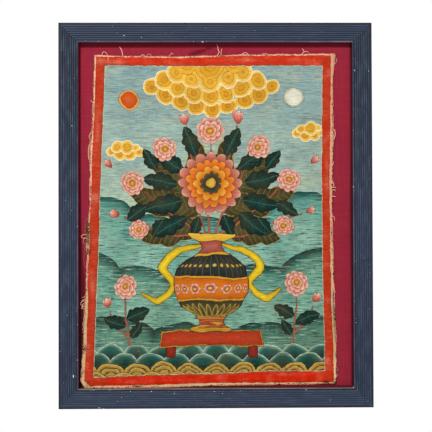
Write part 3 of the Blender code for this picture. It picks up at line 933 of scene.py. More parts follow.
# Straight line between two values, held at both ends: value, its range, and the results at its ends.
RAMP = ("ShaderNodeMapRange", {}, ("Value", "From Min", "From Max", "To Min", "To Max"), 0)
TONES = ("ShaderNodeValToRGB", {}, ("stops", 0), 0)
MIX = ("ShaderNodeMix", {"data_type": "RGBA"}, (0, 6, 7), 2)
TIMES = ("ShaderNodeMath", {"operation": "MULTIPLY"}, (0, 1), 0)
# First value times a weight, which is the last one, plus the second.
PLUS = ("ShaderNodeMath", {"operation": "MULTIPLY_ADD", 1: 1.0}, (0, 2, 1), 0)
MINUS = ("ShaderNodeMath", {"operation": "SUBTRACT"}, (0, 1), 0)
WITHOUT_SIGN = ("ShaderNodeMath", {"operation": "ABSOLUTE"}, (0,), 0)
TO_AND_FRO = ("ShaderNodeMath", {"operation": "PINGPONG"}, (0, 1), 0)
SHADED = ("ShaderNodeVectorMath", {"operation": "SCALE"}, (0, "Scale"), 0)
RELIEF = ("ShaderNodeBump", {}, ("Height", "Strength", "Distance"), 0)
WHITE_LIGHT = ("ShaderNodeBackground", {"Color": (1, 1, 1, 1)}, ("Strength",), 0)
SEEN_DIRECTLY = ("ShaderNodeLightPath", {}, (), "Is Camera Ray")
EITHER_LIGHT = ("ShaderNodeMixShader", {}, (0, 1, 2), 0)

# How far the soft edge of paint reaches to each side of it, in millimetres.
SOFT_EDGE = 0.25


def add_node(tree, kind, *values):
    """Adds a node and gives its output.

    Each value is for a property, for the stops of a colour ramp, or for an input, which a socket is
    linked to. A hex colour becomes a linear one.
    """
    node_type, fixed, places, output = kind
    node = tree.nodes.new(node_type)
    for place, value in [*fixed.items(), *zip(places, values)]:
        if place == "stops":
            elements = node.color_ramp.elements
            while len(elements) < len(value):
                elements.new(1.0)
            for element, (position, hex_colour) in zip(elements, value):
                element.position = position
                element.color = opaque(hex_colour)
        elif isinstance(value, bpy.types.NodeSocket):
            tree.links.new(value, node.inputs[place])
        elif isinstance(place, str) and hasattr(node, place):
            setattr(node, place, value)
        else:
            node.inputs[place].default_value = opaque(value) if isinstance(value, str) else value
    return node.outputs[output]


def new_material(name, inputs):
    """Material whose shader has these input values, and the function that adds a node to it."""
    material = bpy.data.materials.new(name)
    material.use_nodes = True
    for key, value in inputs.items():
        material.node_tree.nodes["Principled BSDF"].inputs[key].default_value = value
    return material, partial(add_node, material.node_tree)


def finished(material, links):
    """The material, with these sockets linked to its shader's inputs."""
    tree = material.node_tree
    for key, socket in links.items():
        tree.links.new(socket, tree.nodes["Principled BSDF"].inputs[key])
    return material


def noise(add, place, sizes, detail=2):
    """Noise whose grains have these sizes in metres along x, y and z."""
    return add(NOISE, add(STRETCHED, place, tuple(1 / size for size in sizes)), detail)


def coats(add, colour, *rows):
    """Lays coats over a colour in turn. Each is how far it covers what is below it, and its colour."""
    for cover, coat in rows:
        colour = add(MIX, cover, colour, coat)
    return colour


def at_height(height):
    """World height in metres from millimetres above the frame's middle."""
    return MIDDLE_Z + height * MM


def painted_wood(settings):
    """Softwood moulding with brushed slate paint: dull satin, rubbed on crests and lip, with dirt and
    painted shade in the grooves, and painted light and shade along and between the rails.
    """
    look = {"Roughness": 0.6, "Specular IOR Level": 0.3}
    material, add = new_material("brushed slate paint on softwood", look)
    uv, crest, bright = add(UV), add(FIELD, "crest"), add(FIELD, "bright")
    # Brush marks: 60 mm long and 0.9 mm wide, a little coarser than the real bristle lines.
    bristles = noise(add, uv, (0.060, 0.0009, 1), 3)
    # Patches where the paint is thin or rubbed: 25 mm long, and 110 mm long.
    rubbed, far_rubbed = noise(add, uv, (0.025, 0.009, 1), 4), noise(add, uv, (0.11, 0.3, 1))
    # Hue drifts between blue and violet grey in streaks of 45 by 5 mm.
    drift = add(RAMP, noise(add, uv, (0.045, 0.005, 1)), 0.42, 0.66)
    paint = coats(add, (*settings.paint, 1), (drift, (*settings.drift, 1)))
    # The paint is scaled by its painted light and shade, which differ along and between the rails and
    # lighten the crests, and by the brush marks.
    paint = add(SHADED, paint, add(TIMES, bright, add(RAMP, bristles, 0.3, 0.7, 0.72, 1.28)))
    worn = add(TIMES, add(RAMP, crest, 0.8, 1), add(RAMP, rubbed, 0.44, 0.7, 0, 0.85))
    lip_rub = add(TIMES, add(RAMP, rubbed, 0.3, 0.62, 0.3, 0.85), add(RAMP, far_rubbed, 0.4, 0.6, 0.45, 1))
    wall = coats(add, "#5c4a3c", (add(FIELD, "red_wall"), "#6c1a32"))
    # Grooves darken towards their bottoms: dirt and painted shade. Where the crest field is below nil it is
    # painted shade: near black on the outer corner and in the darkened grooves beside the lip, while the
    # lip's inner wall is brown or maroon as red_wall gives, scaled by the wall's painted light.
    colour = coats(
        add, paint,
        (worn, (*settings.worn, 1)),
        (add(RAMP, crest, 0, 0.55, 0.9, 0), (*settings.groove_shade_and_dirt, 1)),
        (add(RAMP, crest, -0.1, -0.7), "#180e14"),
        (add(RAMP, crest, -0.8, -1), add(SHADED, wall, bright)),
        (add(TIMES, lip_rub, add(FIELD, "lip_edge")), (*settings.lip, 1)),
    )
    return finished(material, {
        "Base Color": colour, "Roughness": add(RAMP, rubbed, 0, 1, 0.5, 0.72),
        "Normal": add(RELIEF, bristles, 0.5, 0.12 * MM),
    })


def bare_softwood():
    """Sawn pine on the frame's back and in its rabbet: pale, dull, with grain along the rail."""
    material, add = new_material("bare sawn pine", {"Roughness": 0.72})
    # Growth rings, cut lengthwise: bands about 3 mm apart that drift along 150 mm.
    rings = noise(add, add(UV), (0.150, 0.003, 1), 5)
    tones = ((0.25, "#a97f50"), (0.45, "#c79c68"), (0.6, "#d8b482"), (0.8, "#bd905c"))
    grain = add(RELIEF, rings, 0.5, 0.2 * MM)
    return finished(material, {"Base Color": add(TONES, tones, rings), "Normal": grain})


def chipped_primer():
    """Pale primer and wood where the slate paint has flaked: chalky and rough."""
    material, add = new_material("chalky primer in chips", {"Roughness": 0.85})
    specks = noise(add, add(PLACE), (0.0008, 0.0008, 0.0008))
    return finished(material, {"Base Color": add(TONES, ((0.3, "#c4c3c4"), (0.5, "#f8f8fa")), specks)})


def maroon_cotton(settings):
    """Plain-woven maroon cotton: dull with a faint sheen, thread marks, and hue that drifts in bands."""
    look = {"Roughness": 0.88, "Sheen Weight": 0.04, "Specular IOR Level": 0.25}
    material, add = new_material("plain-woven maroon cotton", look)
    place, grime = add(PLACE), add(FIELD, "grime")
    # Slubs: single thick threads, 0.7 mm wide and 25 mm long, one set each way.
    weft, warp = noise(add, place, (0.025, 0.025, 0.0007), 1), noise(add, place, (0.0007, 0.025, 0.025), 1)
    threads = add(PLUS, weft, warp)
    # Dye that took unevenly: upright bands about 12 mm wide, and clouds of 30 mm.
    dye = add(RAMP, noise(add, place, (0.012, 0.05, 0.09)), 0.45, 0.75, 0, 0.6)
    clouds = add(RAMP, noise(add, place, (0.03, 0.03, 0.03), 3), 0.45, 0.75, 0, 0.4)
    cotton = coats(add, (*settings.cotton, 1), (dye, "#921a3f"), (clouds, "#a02c34"))
    cotton = add(SHADED, cotton, add(RAMP, threads, 0.75, 1.25, 0.84, 1.14))
    # The cotton is darker along the creases, broken up in places.
    crease_breakup = add(RAMP, noise(add, place, (0.003, 0.003, 0.0016)), 0.4, 0.56, 0.5, 1)
    # Painted shade in the corner that the cotton makes with the lip, for the lip's shadow: dark maroon,
    # then nearly black.
    colour = coats(
        add, cotton,
        (add(TIMES, add(FIELD, "crease"), crease_breakup), "#5e000c"),
        (add(RAMP, grime, 0, 0.6), "#72041c"),
        (add(RAMP, grime, 0.6, 1), "#2e060c"),
    )
    return finished(material, {"Base Color": colour, "Normal": add(RELIEF, threads, 0.5, 0.18 * MM)})


def pressed_board(settings):
    """Brown board of pressed wood fibre behind the cotton: matt, flecked."""
    material, add = new_material("pressed fibre board", {"Roughness": 0.8})
    flecks = noise(add, add(PLACE), (0.0035, 0.0035, 0.0035), 5)
    colour = coats(add, "#67503a", (add(RAMP, flecks, 0.3, 0.7), (*settings.board, 1)))
    return finished(material, {"Base Color": colour, "Normal": add(RELIEF, flecks, 0.4, 0.2 * MM)})


def cotton_thread():
    """Unbleached cotton thread: matt and fuzzy, each thread a little darker or lighter."""
    material, add = new_material("unbleached cotton thread", {"Roughness": 0.95, "Sheen Weight": 0.1})
    tones = ((0, "#54321f"), (0.35, "#ac6848"), (0.7, "#eca080"), (1, "#ffc0a4"))
    return finished(material, {"Base Color": add(TONES, tones, add(FIELD, "tone"))})


def painted_layer(add, colour, shake, swell, centred, layer):
    """Lays one paint layer over a colour: tone ramp, fine lines, uneven contour, and a soft outer edge."""
    name, tone, (low, high), contour, width, tones = layer
    depth = add(PLUS, add(FIELD, name), shake)
    paint = add(TONES, tones, add(PLUS, centred, add(RAMP, add(FIELD, tone), low, high), 0.3))
    inner = add(RAMP, depth, width, width + 1)
    for _, pattern, spacing, half_width, hex_colour in (row for row in FINE_LINES if row[0] == name):
        away = add(TO_AND_FRO, add(FIELD, pattern), spacing / 2)
        line = add(RAMP, away, half_width + 0.2, half_width - 0.2)
        paint = add(MIX, add(TIMES, line, inner), paint, hex_colour)
    edge = add(RAMP, add(TIMES, depth, swell), width + SOFT_EDGE, width - SOFT_EDGE)
    return coats(add, colour, (add(RAMP, depth, -SOFT_EDGE, SOFT_EDGE), add(MIX, edge, paint, contour)))


def raw_and_band(add, settings, place, shake, centred):
    """Colour outside the picture: raw cotton, dark at its rim from fraying and from painted shade for
    the shadow under its edge, and the worn red band.
    """
    across, height = add(X_OF, place), add(Z_OF, place)
    fuzz, from_rim = noise(add, place, (0.0022, 0.0022, 0.0022), 3), add(FIELD, "from_edge")
    yellowed = add(RAMP, height, at_height(40), at_height(-130))
    # The rim's dark brown is partly fraying and partly painted shade for the shadow under the raw edge; it
    # is weaker at the top.
    rim = add(TIMES, add(RAMP, add(PLUS, fuzz, from_rim, 2.2), 2, 1.2),
              add(RAMP, height, at_height(221), at_height(227), 1, 0.3))
    # The strip on the right is dirty, but for its lowest 35 mm, and so is the left one lower down.
    dirty = add(TIMES, add(RAMP, across, 0.161, 0.165, 0, 0.24),
                add(RAMP, height, at_height(-215), at_height(-200)))
    dirty_left = add(TIMES, add(RAMP, across, -0.176, -0.181, 0, 0.26), yellowed)
    # Dark spots near the rim are painted shade for the gaps and loops of the frayed edge.
    spots = noise(add, place, (0.0028, 0.0028, 0.0045))
    cotton = coats(
        add, (*settings.cotton, 1),
        (yellowed, (*settings.cream, 1)),
        (add(RAMP, fuzz, 0.5, 0.75, 0, 0.5), "#c08c5c"),
        (rim, "#6c4028"),
        (add(PLUS, dirty, dirty_left), "#7c5018"),
        (add(TIMES, add(RAMP, spots, 0.58, 0.64), add(RAMP, from_rim, 2.2, 1)), "#4a1c18"),
    )
    # The band: worn pale patches about 18 mm across, deeper ones between, and a dark rim.
    wear = add(PLUS, centred, noise(add, place, (0.018, 0.018, 0.018), 4), 0.5)
    worn = add(PLUS, add(RAMP, wear, 0.52, 0.74, 0, 0.5), add(FIELD, "worn_place"))
    worn = add(TIMES, worn, add(RAMP, noise(add, place, (0.004, 0.004, 0.0012)), 0.3, 0.6, 0.4, 1))
    grime = noise(add, place, (0.007, 0.007, 0.003), 3)
    band, picture = add(PLUS, add(FIELD, "red_band"), shake), add(FIELD, "picture")
    # The lower band is a stronger red than the upper one, and both sides are browner. Beside the
    # picture the band is browner too, but not on the right.
    inner = add(TIMES, add(RAMP, picture, -3.6, -0.8, 0, 0.6), add(RAMP, across, 0.10, 0.14, 1, 0.1))
    red = coats(
        add, (*settings.band, 1),
        (add(RAMP, height, at_height(-150), at_height(-228)), "#d62500"),
        (add(RAMP, add(WITHOUT_SIGN, across), 0.150, 0.158, 0, 0.3), "#8c4424"),
        (worn, "#dc7a60"),
        (add(RAMP, wear, 0.47, 0.34, 0, 0.6), "#b41c04"),
        (add(RAMP, grime, 0.56, 0.72, 0, 0.4), "#7a2a10"),
        (add(RAMP, band, 1.3, 0.1, 0, 0.55), "#7c1c0c"),
        (inner, "#74482f"),
    )
    return coats(
        add, cotton,
        (add(RAMP, picture, -2.5, -2), "#d8c8a4"),
        (add(RAMP, band, -SOFT_EDGE, SOFT_EDGE), red),
        (add(TIMES, add(FIELD, "stain"), add(RAMP, fuzz, 0.4, 0.56, 0.45, 1)), "#2c140c"),
    )


def painted_cotton(settings):
    """Cotton primed with chalk and painted in mineral colours: matt, brushed in level strokes.

    Thread marks show through the thin paint, the raw rim stays tan, and the band is worn in patches.
    """
    look = {"Roughness": 0.85, "Specular IOR Level": 0.14}
    material, add = new_material("mineral paint on primed cotton", look)
    place = add(PLACE)
    height = add(Z_OF, place)
    # Level brush strokes, 30 mm long and 1.7 mm wide.
    strokes = noise(add, place, (0.030, 0.03, 0.0017), 3)
    centred = add(MINUS, strokes, 0.5)
    # Unsteady contours: the line wanders by half a millimetre every 5 mm, and swells and thins.
    shake = add(RAMP, noise(add, place, (0.005, 0.005, 0.005), 1), 0, 1, -0.8, 0.8)
    swell = add(RAMP, noise(add, place, (0.008, 0.008, 0.008), 1), 0.3, 0.7, 1.7, 0.6)
    # Sky: paler towards the land, with cloudy patches about 50 mm across.
    sky = add(PLUS, centred, add(RAMP, height, at_height(-20), at_height(216)), 1.1)
    clouds = noise(add, place, (0.05, 0.05, 0.02), 3)
    colour = coats(
        add, add(TONES, ((0, "#b4c8aa"), (0.4, "#a3bcae"), (1, "#88a6a6")), sky),
        (add(RAMP, clouds, 0.5, 0.75, 0, 0.45), "#c4c19c"),
        (add(RAMP, clouds, 0.5, 0.3, 0, 0.45), "#748f96"),
    )
    for layer in GROUND_LAYERS:
        colour = painted_layer(add, colour, shake, swell, centred, layer)
    # Dry dark and pale strokes over the land with a few upright ticks, and faint ones over the sky.
    on_land = add(RAMP, height, at_height(40), at_height(-20), 0.4, 0.95)
    dry = add(RAMP, noise(add, place, (0.020, 0.02, 0.0011), 3), 0.53, 0.62)
    pale = add(RAMP, noise(add, place, (0.024, 0.03, 0.0013), 3), 0.58, 0.68)
    ticks = add(RAMP, noise(add, place, (0.0012, 0.02, 0.006), 1), 0.68, 0.74)
    colour = coats(
        add, colour,
        (add(TIMES, dry, on_land), "#1a423c"),
        (add(TIMES, pale, on_land), "#b2d0b6"),
        (add(TIMES, ticks, add(RAMP, height, at_height(-10), at_height(-40), 0, 0.8)), "#12302c"),
    )
    for layer in MOTIF_LAYERS:
        colour = painted_layer(add, colour, shake, swell, centred, layer)
    # Age: a brownish film in patches, and specks where paint has come off.
    film, specks = noise(add, place, (0.03, 0.03, 0.03), 4), noise(add, place, (0.0024, 0.0024, 0.0014), 3)
    colour = coats(
        add, colour,
        (add(RAMP, film, 0.4, 0.7, 0, 0.22), "#6a5228"),
        (add(RAMP, specks, 0.67, 0.72, 0, 0.5), "#d2c49c"),
    )
    inside = add(RAMP, add(FIELD, "picture"), -SOFT_EDGE, SOFT_EDGE)
    colour = add(MIX, inside, raw_and_band(add, settings, place, shake, centred), colour)
    # Threads under the paint. The real ones are 0.45 mm apart; these are slubs of 1 mm, to show.
    weft, warp = noise(add, place, (0.009, 0.009, 0.001), 1), noise(add, place, (0.001, 0.009, 0.009), 1)
    threads = add(PLUS, warp, weft, 0.5)
    return finished(material, {
        "Base Color": add(SHADED, colour, add(RAMP, threads, 0.5, 1, 0.8, 1.18)),
        "Normal": add(RELIEF, add(PLUS, strokes, threads, 0.6), 0.45, 0.22 * MM),
    })


def studio_floor():
    """Pale matt floor."""
    material, add = new_material("pale matt floor paint", {"Roughness": 0.9})
    tint = add(FLOOR_NOISE, add(PLACE))
    return finished(material, {"Base Color": add(TONES, ((0.3, "#e6e6e4"), (0.7, "#ececea")), tint)})


# ---------------------------------------------------------------------------------------------------
# Operators
# ---------------------------------------------------------------------------------------------------

def reed_level(across, settings):
    """Height of the moulding's reeded face above the back: half ellipses of one relief, side by side."""
    relief, band = settings.reed_relief / MM, settings.outer_band / MM
    pitch = (RAIL_FACE - band) / settings.reed_count
    place = np.mod(across - band, pitch) / pitch * 2 - 1
    reeds = relief * np.sqrt(np.clip(1 - place ** 2, 0, 1))
    return FRAME_DEPTH - relief + np.where((across > band) & (across < RAIL_FACE), reeds, 0)


def moulding_section(settings):
    """Closed outline of the moulding: distance in, level above the back, crest and finish (0 painted).

    It runs up the outer side, over a small chamfer, across the reeds, down the lip's inner wall, and
    back along the rabbet. Crest is 1 on a reed's top, 0 in a groove, below nil on the outer corner,
    which gets a painted line of shade, and -1 on the lip's inner wall.
    """
    relief, band, lip = settings.reed_relief / MM, settings.outer_band / MM, settings.lip_width / MM
    groove_level, seat, rabbet = FRAME_DEPTH - relief, RAIL_FACE - lip, MOUNT_FRONT + 0.3
    pitch = (RAIL_FACE - band) / settings.reed_count
    angle = np.linspace(math.pi, 0, 15)[1:]
    middles = band + (np.arange(settings.reed_count) + 0.5) * pitch
    reed_across = (middles[:, None] + 0.5 * pitch * np.cos(angle)).ravel()
    reed_levels = np.tile(groove_level + relief * np.sin(angle), settings.reed_count)
    reed_crest = np.tile(np.sin(angle), settings.reed_count)
    chamfer = 0.6
    start = (
        (0, 0, 0.5, 0), (0, 0.5 * groove_level, 0.5, 0), (0, groove_level - chamfer, -0.6, 0),
        (0.2, groove_level - 0.2, -0.6, 0), (chamfer, groove_level, -0.6, 0), (1.4, groove_level, -0.4, 0),
        (2.0, groove_level, 0.2, 0), (2.5, groove_level, 0.8, 0), (band, groove_level, 0.3, 0),
    )
    end = (
        (RAIL_FACE, groove_level - 0.5, -1, 0), (RAIL_FACE, groove_level - 1.6, -1, 0),
        (RAIL_FACE, rabbet, -1, 1), (seat, rabbet, 0.6, 1), (seat, 0, 0.6, 1),
    )
    reeds = np.stack([reed_across, reed_levels, reed_crest, np.zeros(len(angle) * settings.reed_count)], -1)
    return np.vstack([start, reeds, end])


class PAINTING_OT_rails(bpy.types.Operator):
    """Build the four mitred rails: the moulding's section, drawn along each side of the frame"""

    bl_idname = "framed_painting.rails"
    bl_label = "Reeded rails"

    def execute(self, context):
        settings = context.scene.painting_rails
        materials = [painted_wood(settings), bare_softwood()]
        section = moulding_section(settings)
        across, level, crest, finish = section.T
        outline = np.cumsum(np.hypot(*np.diff(section[:, :2], axis=0, prepend=section[:1, :2]).T))
        spots = np.linspace(-1, 1, settings.stations + 1)
        mitre_gap = 0.04
        cut, band = mitre_gap / 2 * math.sqrt(2), settings.outer_band / MM
        down = np.maximum(FRAME_DEPTH - settings.reed_relief / MM - level, 0) * (across > RAIL_FACE - 0.1)
        for seed, row in enumerate(RAILS):
            name, node, degrees, bright, wear, wall, red, sharp, rub_in, patches = row
            turn = math.radians(degrees)
            cos_turn, sin_turn = round(math.cos(turn)), round(math.sin(turn))
            length = FRAME_WIDTH * abs(cos_turn) + FRAME_HEIGHT * abs(sin_turn)
            # The lip's rubbed line: its place is measured over the crest and on down the inner wall.
            lip = np.exp(-(((across + down - RAIL_FACE + rub_in) / 0.65) ** 2)) * (across > band)
            paint = np.where(crest > 0, np.abs(crest) ** sharp, crest)
            for inwards, amount, reach in patches:
                paint = paint + amount * np.exp(-(((across - RAIL_FACE + inwards) / reach) ** 2))
            paint = np.where(crest == -1, crest, np.maximum(paint, -0.7))
            along = spots[:, None] * (length / 2 - across - cut)
            # Hand wear: crests rubbed down by up to a fifth of a millimetre, in long shallow dips.
            rub = 0.1 * (1 + smooth_noise(along, 9 * across + 0 * along, 45, 50 + seed))
            crests = np.where(across > 0, crest, 0) * (level > MOUNT_FRONT + 1)
            worn_level = level - np.clip(rub, 0, 0.2) * crests
            x = sin_turn * FRAME_WIDTH / 2 + along * cos_turn - across * sin_turn
            height = cos_turn * FRAME_HEIGHT / 2 - along * sin_turn - across * cos_turn
            points = placed(x, height, worn_level)
            rows, columns = along.shape
            faces = closed_bodies(1, rows, columns)
            places = (-0.6, 0, 0.6)
            bright, wear, wall = (np.interp(spots, places, part)[:, None] for part in (bright, wear, wall))
            # Painted highlight: on rails whose crests look sharper, the crests are lighter and the grooves
            # darker.
            painted_crest_highlight = 1 + 0.06 * (sharp - 0.7) * (paint - 0.3)
            fields = {"crest": paint + 0 * along, "lip_edge": lip * wear, "red_wall": red + 0 * along,
                      "bright": np.where(crest == -1, wall, bright * painted_crest_highlight)}
            piece = new_piece(name, points, faces, materials, fields, math.radians(50))
            unwrap_rail(piece, along, np.broadcast_to(outline, along.shape) + 40 * seed)
            indices = np.tile(finish.astype(int), rows - 1)
            piece.data.polygons.foreach_set("material_index", np.concatenate([indices, [1, 1]]))
            # The mitre faces are flat, so that the walls aren't shaded round into them.
            for mitre_face in piece.data.polygons[-2:]:
                mitre_face.use_smooth = False
            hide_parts(node)
        return {"FINISHED"}


def unwrap_rail(piece, along, outline):
    """UV map in metres: along the rail, and along its section's outline."""
    corners = np.empty(len(piece.data.loops), np.int32)
    piece.data.loops.foreach_get("vertex_index", corners)
    places = np.stack([along.ravel(), outline.ravel()], -1)[corners] * MM
    piece.data.uv_layers.new(name="along_rail").data.foreach_set("uv", places.astype(np.float32).ravel())


class PAINTING_OT_chips(bpy.types.Operator):
    """Build the chips in the paint: low irregular scales that follow the reeds"""

    bl_idname = "framed_painting.chips"
    bl_label = "Paint chips"

    def execute(self, context):
        settings = context.scene.painting_rails
        random = np.random.default_rng(7)
        # Many more specks than the large chips, along the lip's edge and the outer corner.
        count = SPECK_COUNT
        side, run = random.integers(0, 4, count), random.uniform(-0.96, 0.96, count)
        in_from = np.where(random.uniform(size=count) < 0.5, random.uniform(24.6, 27.2, count),
                           random.uniform(0.8, 25, count))
        half_x, half_h = FRAME_WIDTH / 2 - in_from, FRAME_HEIGHT / 2 - in_from
        sides = [side == 0, side == 1]
        level_x = np.select(sides, [run * half_x, run * half_x], np.where(side == 2, -half_x, half_x))
        level_h = np.select(sides, [half_h, -half_h], run * half_h)
        small = random.uniform(0.25, 0.75, count)
        specks = np.stack([level_x, level_h, small * random.uniform(1, 2.2, count), small], -1)
        chips = np.vstack([np.array(PAINT_CHIPS), specks])
        angle = 2 * math.pi * np.arange(CHIP_SIDES) / CHIP_SIDES
        ring = np.array(CHIP_REACH)[:, None]
        ragged = 1 + 0.35 * random.uniform(-1, 1, (len(chips), 1, CHIP_SIDES))
        x = chips[:, 0, None, None] + 0.5 * chips[:, 2, None, None] * ring * ragged * np.cos(angle)
        height = chips[:, 1, None, None] + 0.5 * chips[:, 3, None, None] * ring * ragged * np.sin(angle)
        across = np.minimum(FRAME_WIDTH / 2 - np.abs(x), FRAME_HEIGHT / 2 - np.abs(height))
        level = reed_level(np.clip(across, 0, RAIL_FACE - 0.05), settings) + np.array(CHIP_RISE)[:, None]
        points = placed(x, height, level).reshape(-1, 3)
        faces = [face[::-1] for face in closed_bodies(len(chips), len(CHIP_REACH), CHIP_SIDES)]
        new_piece("paint_chips", points, faces, [chipped_primer()])
        return {"FINISHED"}


def corner_painted_shade(x, height):
    """Painted shade on the cotton beside the lip, for the lip's shadow: nearly black close to it,
    and a wider strip of dark maroon.

    Each strip is full over its width and then falls off as exp of minus the squared distance. Both are
    wider lower down, and widest on the left.
    """
    from_left, from_right = (FRAME_WIDTH / 2 - RAIL_FACE + side * x for side in (1, -1))
    from_top, from_bottom = (FRAME_HEIGHT / 2 - RAIL_FACE + side * height for side in (-1, 1))
    strips = (
        (from_left, np.interp(height, (-248, -200, -120, -80), (4.0, 2.8, 1.0, 0)),
         np.interp(height, (-205, -180), (1.0, 0.8))),
        (from_left, np.interp(height, (-248, -90, -60, -30, 60, 248), (9.0, 6.5, 4.0, 2.4, 0.8, 0.1)),
         np.interp(height, (-140, -60, 0), (0.86, 0.74, 0.5))),
        (from_right, np.interp(height, (-200, -100, 0, 100), (0.9, 1.0, 1.7, 0.8)), 0.85),
        (from_top, 3.0, 0.25), (from_bottom, 0.6, 0.8),
    )
    soft = 1.1
    return np.max([
        full * np.exp(-((np.maximum(away - wide, 0) / soft) ** 2)) for away, wide, full in strips
    ], axis=0)


class PAINTING_OT_mount(bpy.types.Operator):
    """Build the mount: a board, and maroon cotton pulled flat over it"""

    bl_idname = "framed_painting.mount"
    bl_label = "Cloth-covered mount"

    def execute(self, context):
        settings = context.scene.painting_mount
        width, length = (MOUNT_HIGH.x - MOUNT_LOW.x) / MM, (MOUNT_HIGH.z - MOUNT_LOW.z) / MM
        middle = ((MOUNT_HIGH.z + MOUNT_LOW.z) / 2 - MIDDLE_Z) / MM
        thickness = settings.cloth_thickness / MM
        # Places along each side crowd towards its ends, as t times 1.5 less half of t squared does.
        places = [t * (1.5 - 0.5 * t * t) for t in (np.linspace(-1, 1, count) for count in (161, 201))]
        x, height = np.meshgrid(places[0] * width / 2, middle + places[1] * length / 2)
        # The cotton lies within a tenth of a millimetre of flat, but for two short creases near the top.
        depth = np.max([stroke(x, height, line, half_widths) for line, half_widths in CREASES], axis=0)
        crease = np.exp(-((np.maximum(-depth, 0) / 1.3) ** 2))
        relief = 0.08 * smooth_noise(x, height, 70, 61) + 0.35 * crease - 0.08
        front = MOUNT_FRONT - 0.1 + relief
        step = 4
        points, faces = sheet_shape(x, height, front, front - thickness, step)
        fields = {
            key: np.concatenate([value.ravel(), value[::step, ::step].ravel()])
            for key, value in (("crease", crease), ("grime", corner_painted_shade(x, height)))
        }
        cotton = new_piece("maroon_mount_cloth", points, faces, [maroon_cotton(settings)],
                           fields, math.radians(50))
        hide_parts("mount_panel")

        # The board needs only every fifth of the cotton's back rows and columns.
        step *= 5
        x, height = x[::step, ::step], height[::step, ::step]
        front, back = MOUNT_FRONT - 0.45 - thickness + 0 * x, MOUNT_BACK + 0 * x
        points, faces = sheet_shape(x, height, front, back, 1)
        board = new_piece("mount_board", points, faces, [pressed_board(settings)],
                          None, math.radians(50))
        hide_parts("mount_panel")
        return {"FINISHED"}


class PAINTING_OT_cloth(bpy.types.Operator):
    """Build the painted cloth: a sheet on the outline and rises of the source, with its paint fields"""

    bl_idname = "framed_painting.cloth"
    bl_label = "Painted cloth"

    def execute(self, context):
        settings = context.scene.painting_cloth
        x, height = cloth_grid(settings.faces_across, settings.faces_up)
        edge = np.maximum(from_edge(x, height), 0)
        x, height = raw_edge_wander(x, height)
        back = MOUNT_FRONT + 0.3 + cloth_lift(x, height)
        whole, thin = settings.thickness / MM, settings.edge_thickness / MM
        front = back + thin + (whole - thin) * smooth_step(edge, 0, 9)
        step = 8
        points, faces = sheet_shape(x, height, front, back, step)
        fields = picture_fields(x, height)
        fields["red_band"], fields["picture"] = band_fields(x, height)
        fields["from_edge"] = edge
        fields["stain"] = np.minimum(rounds(x, height, STAINS), 1)
        fields["worn_place"] = np.minimum(rounds(x, height, WORN_PLACES), 1)
        behind = np.full(x[::step, ::step].size, OUTSIDE)
        attributes = {key: np.concatenate([value.ravel(), behind]) for key, value in fields.items()}
        cloth = new_piece("painted_cloth", points, faces, [painted_cotton(settings)],
                          attributes, math.radians(60))
        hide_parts("painting_cloth")
        return {"FINISHED"}


def edge_places(run):
    """x, height and outward direction on the cloth's outline, for parts 0 to 1 of each side in turn."""
    side, t = np.divmod(run, 1.0)
    bottom_x, right_h = part_way(BOTTOM_EDGE, t), part_way(RIGHT_EDGE, t)
    top_x, left_h = part_way(TOP_EDGE[::-1], t), part_way(LEFT_EDGE[::-1], t)
    sides = [side == k for k in range(4)]
    x = np.select(sides, [bottom_x, at(RIGHT_EDGE, right_h), top_x, at(LEFT_EDGE, left_h)])
    height = np.select(sides, [at(BOTTOM_EDGE, bottom_x), right_h, at(TOP_EDGE, top_x), left_h])
    out_x, out_h = (np.take(turns, side.astype(int)) for turns in ((0, 1, 0, -1), (-1, 0, 1, 0)))
    return x, height, out_x, out_h


